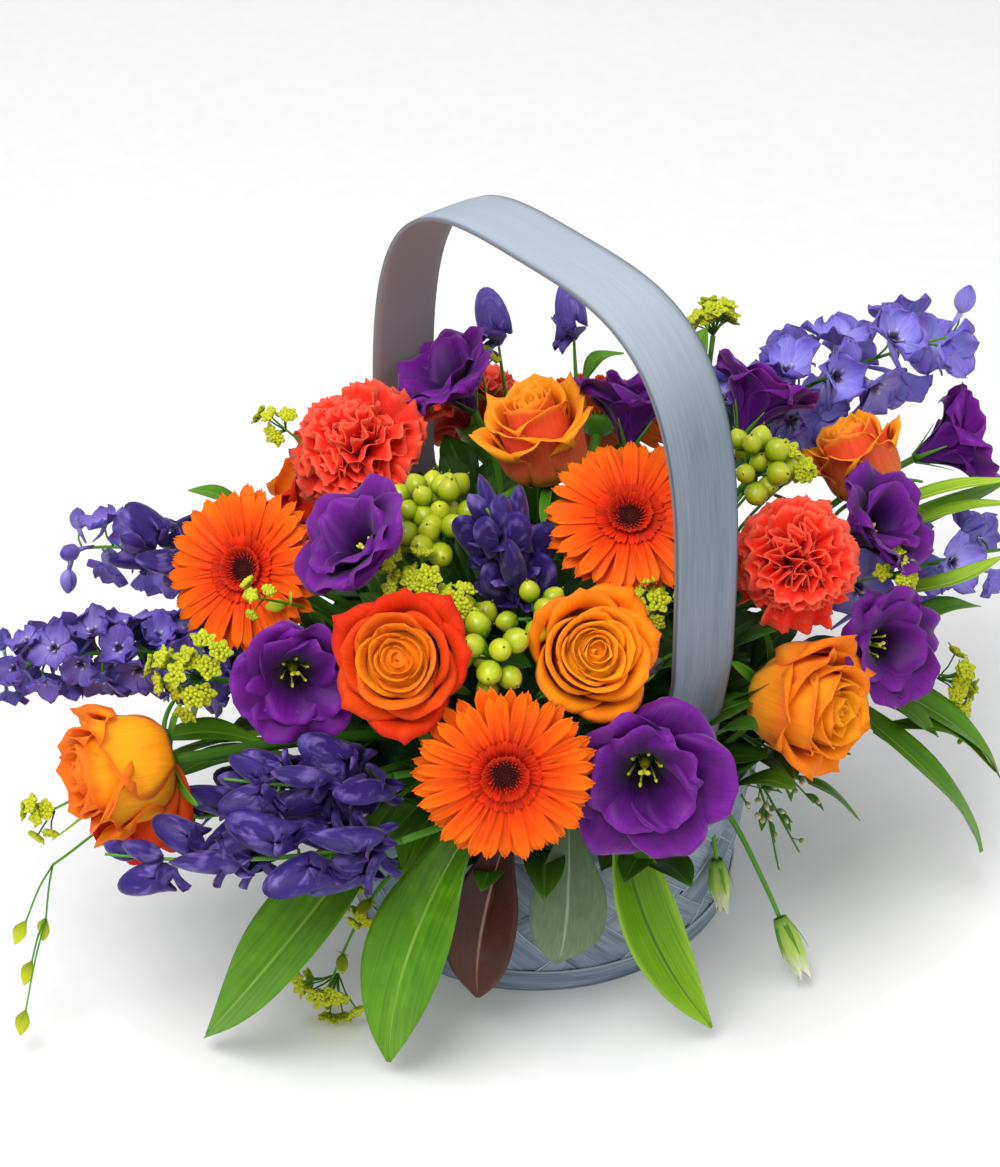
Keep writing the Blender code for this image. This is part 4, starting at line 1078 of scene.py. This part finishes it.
def makeExtras(stuff):
    look, rng = extraLook, np.random.default_rng(120)
    spot = lambda place: basketFoot + np.array(place) * mm
    flowers, green, leaves, grass, fruit, cream, buds, thin = (Skin() for i in range(8))
    for start, middle, radius, rays in look["umbels"]:
        start, middle = spot(start), spot(middle)
        sag = np.array([0, 0, 0.12 * np.linalg.norm(middle - start)])
        line = curveThrough([start, (start + middle) / 2 + sag, middle], 6)
        green.tube(line, np.linspace(1.2, 0.6, len(line)) * mm, 6)
        way = unit(unit(line[-1] - line[-3]) + (-0.35, -0.35, 0.55))
        umbel(flowers, green, middle - way * radius * 0.7 * mm, way, radius * mm * 0.85, rng, rays)
        local = axesFor(unit(line[-1] - line[-5]))
        for k in range(2):  # the small leaves that clasp its stem
            grid = petalGrid(6, 5, (0.05, 0.0), lambda v: 1.0 - 0.1 * v**2,
                             lambda u, v: np.radians(35 + 0 * u), lambda u: 0.30 * oval(u, 0.05))
            grid = seated(grid, 3.1 * k + rng.random(), 11 * mm, local, line[-4])
            flowers.sheet(grid, 0.35 * mm, rng.random())
    for start, end in look["airy"]:
        start, end = spot(start), spot(end)
        green.tube(curveThrough([start, (start + end) / 2 + (0, 0, 3 * mm), end], 4), 0.5 * mm, 6, 0.9)
        way = unit(end - start)
        looseLeaf(flowers, [end, end + way * 6 * mm, end + way * 13 * mm], 4.2 * mm, rng)
    green.tube(curveThrough([spot(p) for p in look["airyStem"]], 8), 0.7 * mm, 6, 0.9)
    for *path, half in look["smoothLeaves"]:
        looseLeaf(leaves, [spot(p) for p in path], half * mm, rng, 17, 7)
    for *path, half in look["grass"]:
        looseLeaf(grass, [spot(p) for p in path], half * mm, rng, 19, 7, 0.45)
    flowers.piece("filler_umbels", stuff["bupleurumFlower"], "lime")
    leaves.piece("filler_smooth_leaves", stuff["ruscusLeaf"], "leaf")
    grass.piece("filler_grass", stuff["grassLeaf"], "lime")
    for start, middle, radius, count in look["berries"]:
        start, middle = spot(start), spot(middle)
        way = unit(middle - start)
        green.tube([start, (start + middle) / 2, middle - way * radius * 0.5 * mm], 1.1 * mm, 6)
        berrySpray(fruit, green, middle - way * radius * 0.9 * mm, way, radius * mm, count, rng)
    fruit.piece("filler_berries", stuff["hypericumBerry"], "berry")
    creamSpray(cream, green, spot(look["creamStart"]), [spot(end) for end in look["creamEnds"]], rng)
    cream.piece("filler_cream_buds", stuff["creamBud"], "lime")
    for *path, length, radius in look["buds"]:
        budFlower(buds, green, [spot(p) for p in path], length * mm, radius * mm, rng)
    buds.piece("lisianthus_buds", stuff["lisianthusBud"], "lime")
    *path, length, radius = look["thinBud"]
    budFlower(thin, green, [spot(p) for p in path], length * mm, radius * mm, rng)
    thin.piece("lisianthus_thin_bud", stuff["lilacBud"], "purple")
    green.piece("filler_stems", stuff["greenStemSkin"], "leaf")
    dropPetals(stuff)
    print("fillers made")


def creamSpray(cream, green, start, ends, rng):  # small berries on twigs, with a leaf at every third one
    for end in ends:
        line = curveThrough([start, (start * 0.5 + end * 0.5) + rng.normal(0, 4, 3) * mm, end], 5)
        green.tube(line, np.linspace(1.0, 0.5, len(line)) * mm, 6, 0.1, 0.6)
        for k in range(extraLook["creamBerries"]):
            at = line[int(rng.uniform(0.35, 1.0) * (len(line) - 1))]
            way = unit(rng.normal(0, 1, 3) + unit(end - start))
            tip = at + way * rng.uniform(3, 8) * mm
            green.tube([at, (at + tip) / 2, tip], 0.35 * mm, 4, 0.2)
            cream.egg(tip, way, rng.uniform(3.5, 5.5) * mm, rng.uniform(1.2, 1.9) * mm, 8, 6, rng.random())
            if k % 3 == 0:
                points = [at, at + way * 6 * mm, at + way * 12 * mm + (0, 0, -3 * mm)]
                # painted shade on these small leaves
                looseLeaf(green, points, 2.6 * mm, rng, deep=0.5)


def dropPetals(stuff):  # the red outer petals that hang from under the left rose, darkened further with painted shade
    back, axis, radius = headOf("rose_left", 1.5)[:3]
    fallen, down, across = Skin(), np.array([-0.35, -0.45, -0.82]), np.array([0.785, -0.62, 0.0])
    for sway, long in ((-0.15, 50), (0.35, 44)):
        way = unit(down + axis * 0.25 + across * sway)
        hang = np.array([unit(np.cross(across, way)), unit(across - way * (across @ way)), way])
        grid = petalGrid(14, 13, (0.0, 0.0), lambda v: 1 - 0.12 * v**2,
                         lambda u, v: np.radians(96 - 40 * smooth(u)),
                         lambda u: 0.40 * oval(u, 0.06, 1.6, 0.8),
                         lift=lambda u, v: 0.10 * u * np.sin(3 * v + long) + 0.12 * v**2)
        # painted shade: deep 0.62 darkens these petals as if under the rose
        fallen.sheet(grid * long * mm @ hang + back + axis * 0.3 * radius, 0.6 * mm, 0.9, 0.62)
    fallen.piece("rose_left_dropped_petals", stuff["rosePetalRed"], "red")


# A grained or pored finish for a plain node of the frame, in the frame's own coordinates. scale is in
# grains per metre along each axis, and deep is their relief in millimetres.
def plainFinish(name, dark, pale, scale, deep, surface):
    finish, tree = newFinish(name)
    grain = noise(tree, addNode(tree, "NewGeometry", output="Position"), scale, 4.0)
    colour = addNode(tree, "ValToRGB", {0: grain}, stops={0.3: dark, 0.7: pale})
    closeFinish(tree, surface, colour, grain, deep)
    return finish


def coverPlainNodes():
    # Open-celled phenolic foam, soaked: dark green, dull, with 0.5 mm pores.
    foam = plainFinish("soakedFloralFoam", "#16361C", "#2C5C34", (1900, 1900, 1900), 0.3,
                       {"Roughness": 0.95, "IOR": 1.4})
    # Black polythene film, creased by hand: glossy over soft wrinkles about 15 mm apart.
    film = plainFinish("blackLinerFilm", "#0C0D0E", "#1C1E20", (70, 70, 110), 0.6,
                       {"Roughness": 0.28, "IOR": 1.5})
    # Poplar plywood, unpainted: pale, matt, grain lines 1 mm apart that run along the oval.
    ply = plainFinish("poplarPly", "#A88C66", "#D2BC94", (28, 1000, 60), 0.1, {"Roughness": 0.7, "IOR": 1.5})
    # Drawn steel wire nails, bright but finely scratched.
    steel = plainFinish("drawnSteel", "#8C8F94", "#B4B8BC", (500, 500, 4000), 0.02,
                        {"Roughness": 0.35, "Metallic": 1.0})
    covers = dict(foam=foam, liner=film, basket_floor=ply, nail_front=steel, nail_back=steel)
    for name, finish in covers.items():
        nodes[name].data.materials.clear()
        nodes[name].data.materials.append(finish)
    print("plain nodes covered")


viewLook = dict(
    azimuth=-38.3, elevation=34.7, distance=1.5755, lens=92.5, aim=(8.6 * mm, 48.3 * mm, 155.3 * mm))
studioLook = dict(
    floor=14.0, sky=0.72, lampDistance=1.9, lampAim=(0, 0, 0.15),
    lamps=dict(  # azimuth, elevation, size and power of each
        key_softbox=(-75, 62, 1.3, 27.0), fill_softbox=(20, 48, 1.6, 3.0)))


def lookFrom(thing, azimuth, elevation, distance, aim):
    a, e = math.radians(azimuth), math.radians(elevation)
    back = np.array([math.sin(a) * math.cos(e), -math.cos(a) * math.cos(e), math.sin(e)])
    thing.location = basketFoot + aim + back * distance
    thing.rotation_euler = (math.pi / 2 - e, 0, a)


def makeStudio():
    view, look, scene = viewLook, studioLook, bpy.context.scene
    camera = bpy.data.objects.new("camera", bpy.data.cameras.new("camera"))
    camera.data.lens = view["lens"]
    camera.data.sensor_width = 36
    lookFrom(camera, view["azimuth"], view["elevation"], view["distance"], view["aim"])
    scene.collection.objects.link(camera)
    scene.camera = camera
    for name, (azimuth, elevation, size, power) in look["lamps"].items():
        lamp = bpy.data.lights.new(name, "AREA")
        lamp.shape, lamp.size, lamp.energy = "DISK", size, power
        light = bpy.data.objects.new(name, lamp)
        lookFrom(light, azimuth, elevation, look["lampDistance"], look["lampAim"])
        scene.collection.objects.link(light)
    world = bpy.data.worlds.new("soft white studio")
    world.use_nodes = True
    sky = world.node_tree.nodes["Background"]
    sky.inputs[0].default_value, sky.inputs[1].default_value = (1, 1, 1, 1), look["sky"]
    scene.world = world
    scene.view_settings.view_transform = "Standard"
    # Uncoated white paper sweep, matt, with fine fibres.
    paper, tree = newFinish("whiteStudioPaper")
    fibre = addNode(tree, "TexNoise", {"Scale": 900.0, "Detail": 2.0})
    colour = addNode(tree, "ValToRGB", {0: fibre}, stops={0.0: "#F4F4F4", 1.0: "#FAFAFA"})
    closeFinish(tree, {"Roughness": 0.9, "Specular IOR Level": 0.1}, colour)
    half, mesh = look["floor"] / 2, bpy.data.meshes.new("studio_floor")
    corners = [(-half, -half, 0), (half, -half, 0), (half, half, 0), (-half, half, 0)]
    mesh.from_pydata(corners, [], [(0, 1, 2, 3)])
    mesh.materials.append(paper)
    floor = bpy.data.objects.new("studio_floor", mesh)
    floor.location.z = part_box("basket_floor")[0].z - 0.2 * mm
    scene.collection.objects.link(floor)
    print("studio made")


roseFeel = dict(ribs=(1.4, 18), rough=0.6, soft=0.2, gloss=0.15, toneSpread=0.0)  # velvet, light sinks in
hoodFeel = dict(ribs=(1.5, 9), ribDeep=0.2, sheen=0.12)  # downy, with strong veins
waxyLeaf = dict(ribDark=0.7, rough=0.38, sheen=0.0)  # smooth cuticle with a soft shine
dullLeaf = dict(ribs=(1.6, 9), ribDark=0.8, ribDeep=0.15)
plantLooks = dict(
    gerberaPetal=dict(
        inner={0: "#B01400", 0.3: "#EC3800", 0.6: "#FA5200", 1: "#FF7006"},
        outer={0: "#D84A08", 1: "#F87418"},
        ribs=(0.8, 26), ribDark=0.74, toneSpread=0.24, gloss=0.15),
    gerberaRingFloret=dict(
        inner={0: "#8C0A02", 0.5: "#D82204", 1: "#F03A08"},
        outer={0: "#8C0A02", 0.5: "#D01C04", 1: "#F03A08"},
        ribs=(0.6, 8), ribDark=0.7, rough=0.65, toneSpread=0.5, gloss=0.15),
    gerberaDiscFloret=dict(
        inner={0: "#2A0504", 1: "#7A1608"}, rough=0.7, toneSpread=0.7, soft=0.0),
    rosePetalApricot=dict(
        inner={0: "#FF9A08", 0.5: "#FF960C", 1: "#FF8C12"},
        outer={0: "#E0A028", 0.5: "#FC8C20", 1: "#F4602C"},
        edge=("#F0501C", 0.84, 0.45), ribDark=0.9, core=("#FFC418", 0.25, 0.85, 1.0), **roseFeel),
    rosePetalSalmon=dict(
        inner={0: "#FFA010", 0.5: "#FFA010", 1: "#FF9818"},
        outer={0: "#E8A030", 0.45: "#F0683C", 1: "#F45C34"},
        edge=("#FF9A28", 0.84, 0.7), ribDark=0.88, core=("#FFBC18", 0.05, 0.4, 0.8), **roseFeel),
    rosePetalYellow=dict(
        inner={0: "#FFA410", 0.5: "#FFA410", 1: "#FFA018"},
        outer={0: "#F48C10", 0.5: "#FFA418", 1: "#FFAE24"},
        edge=("#F0501C", 0.78, 0.7), ribDark=0.9, patch=("#F0501C", 0.3), **roseFeel),
    rosePetalRed=dict(
        inner={0: "#FF8A10", 0.6: "#F6540C", 1: "#E8340C"},
        outer={0: "#E86010", 0.45: "#DC2A0A", 1: "#C8140A"},
        edge=("#D01C08", 0.66, 0.6), ribDark=0.88, core=("#FFBA18", 0.45, 0.75, 0.97), **roseFeel),
    carnationPetal=dict(
        inner={0: "#C80C06", 0.5: "#F4200E", 1: "#FF3E28"},
        outer={0: "#D41C10", 0.5: "#F03018", 1: "#FA5034"},
        # the pale pink edge is a painted highlight along the frilled rims
        edge=("#FF7A5E", 0.9, 0.5), ribs=(1.0, 12), ribDark=0.86, rough=0.65, soft=0.15,
        sheen=0.1, gloss=0.2),
    lisianthusPetal=dict(
        inner={0: "#0C0112", 0.4: "#1C022C", 0.72: "#4C0868", 1: "#6C0C88"},
        outer={0: "#521670", 0.4: "#4C0A6C", 1: "#6C1888"}, edge=("#7C28A0", 0.86, 0.5), ribs=(0.9, 20),
        ribDark=0.74, rough=0.5, soft=0.08, sheen=0.12, gloss=0.25),
    stamenAndStigma=dict(inner={0: "#B8C830", 1: "#F0E040"}, rough=0.6),
    greenStemSkin=dict(
        inner={0: "#3E7A16", 1: "#5C9A28"},
        outer={0: "#4A8420", 1: "#6AA634"}, ribs=(0.7, 20), ribDark=0.8,
        rough=0.45, soft=0.05, sheen=0.0),
    # Both hood finishes: the pale lavender patch is painted highlights, and the dark edge colour is painted
    # shade along the hoods' rims.
    monkshoodHood=dict(
        inner={0: "#28165C", 0.5: "#342070", 1: "#443082"},
        outer={0: "#3E2C80", 0.5: "#301E6C", 1: "#443088"},
        edge=("#28165E", 0.86, 0.75), patch=("#9C84DC", 0.5), ribDark=0.66, rough=0.45,
        soft=0.08, **hoodFeel),
    monkshoodUpperHood=dict(
        inner={0: "#40308A", 0.5: "#5844A4", 1: "#6E58B8"},
        outer={0: "#6654B0", 0.5: "#6C5CB8", 1: "#5A46A6"},
        edge=("#32207A", 0.84, 0.7), patch=("#A896E0", 0.5), ribDark=0.7, rough=0.5, soft=0.1, **hoodFeel),
    delphiniumSepal=dict(
        inner={0: "#9A8ED2", 0.5: "#7464B4", 1: "#5E4EA4"}, outer={0: "#6C6CB4", 1: "#4C3C98"},
        edge=("#3A2C94", 0.86, 0.65), patch=("#6A54C4", 0.3), ribs=(1.2, 9), ribDark=0.8, rough=0.5,
        soft=0.15, toneSpread=0.5),
    delphiniumPaleSepal=dict(
        inner={0: "#B4ACEA", 0.5: "#9086DA", 1: "#7468C8"}, outer={0: "#8C88D8", 1: "#665AC0"},
        edge=("#5246A8", 0.88, 0.5), patch=("#A89CE8", 0.3), ribs=(1.2, 9), ribDark=0.8, rough=0.5, soft=0.2,
        toneSpread=0.4),
    delphiniumBee=dict(
        inner={0: "#2A1C3A", 0.5: "#4A3A6A", 1: "#C8C0E8"}, outer={0: "#2A1C3A", 1: "#A89CD0"}),
    hypericumBerry=dict(
        inner={0: "#6C8C0C", 0.5: "#9CB010", 1: "#C0C828"},
        outer={0: "#6C8C0C", 0.5: "#9CB010", 1: "#C8D03A"},
        ribs=(2.5, 3), ribDark=0.94, ribDeep=0.03, rough=0.25, soft=0.15, sheen=0.0, coat=0.5),
    bupleurumFlower=dict(
        inner={0: "#708C0C", 0.5: "#AAB818", 1: "#CCD02C"},
        outer={0: "#6C8C10", 1: "#B4C028"}, ribs=(0.8, 4),
        ribDark=0.85, rough=0.6, soft=0.1),
    ruscusLeaf=dict(
        inner={0: "#3C6A06", 0.5: "#4A8008", 1: "#60960C"},
        outer={0: "#64903C", 1: "#729C46"}, ribs=(1.3, 60),
        ribDeep=0.15, soft=0.03, patch=("#62961A", 0.35), midrib=("#86B040", 0.03, 0.8), **waxyLeaf),
    lilyLeaf=dict(
        inner={0: "#54860A", 0.5: "#66980E", 1: "#84B41C"},
        outer={0: "#7CA040", 1: "#8CB04C"}, ribs=(1.0, 60),
        ribDeep=0.2, soft=0.05, edge=("#9CC83C", 0.72, 0.55), midrib=("#2C5C08", 0.05, 0.7), **waxyLeaf),
    bronzeLeaf=dict(
        inner={0: "#2E120C", 0.5: "#431A10", 1: "#5C2A18"},
        outer={0: "#6C4636", 1: "#7A5444"}, rough=0.34,
        soft=0.02, sheen=0.0, midrib=("#A87C68", 0.03, 0.8), **dullLeaf),
    greyLeaf=dict(
        inner={0: "#4C6040", 0.5: "#586C4C", 1: "#6A7C5C"},
        outer={0: "#6C7C60", 1: "#84927A"}, rough=0.5,
        soft=0.03, sheen=0.1, midrib=("#96A488", 0.03, 0.7), **dullLeaf),
    lisianthusBud=dict(
        inner={0: "#7CA838", 0.5: "#B4CC60", 1: "#E8E4D0"},
        ribs=(1.2, 14), ribDark=0.8, rough=0.5),
    lilacBud=dict(
        inner={0: "#8C9A50", 0.35: "#A090B0", 1: "#7A5AA8"},
        ribs=(1.2, 10), ribDark=0.8, soft=0.1),
    creamBud=dict(
        inner={0: "#6C7440", 0.5: "#A4A078", 1: "#D8D4B4"},
        outer={0: "#6C7440", 1: "#D8D4B4"}, ribs=(0.8, 4),
        rough=0.65, soft=0.08),
    grassLeaf=dict(
        inner={0: "#5C8C14", 0.5: "#84AC20", 1: "#A8C838"},
        outer={0: "#8CB040", 1: "#B4CC58"}, ribs=(0.9, 60),
        ribDark=0.74, rough=0.42, soft=0.05, midrib=("#C4DC70", 0.05, 0.6)),
    fillerLeaf=dict(
        inner={0: "#224608", 0.5: "#30580C", 1: "#3C6812"},
        outer={0: "#4C7434", 1: "#587F3E"}, ribs=(1.5, 14),
        ribDark=0.8, rough=0.42, soft=0.02, sheen=0.0, midrib=("#5C9038", 0.05, 0.6)))


makeStudio()
makeBasket()
stuff = {name: plantFinish(name, **look) for name, look in plantLooks.items()}
makeBlooms(stuff)
for i, name in enumerate(spikeLook):
    spike(name, 50 + i, stuff)
print("spikes made")
berriesAndUmbels(stuff)
makeLeaves(stuff)
makeExtras(stuff)
coverPlainNodes()
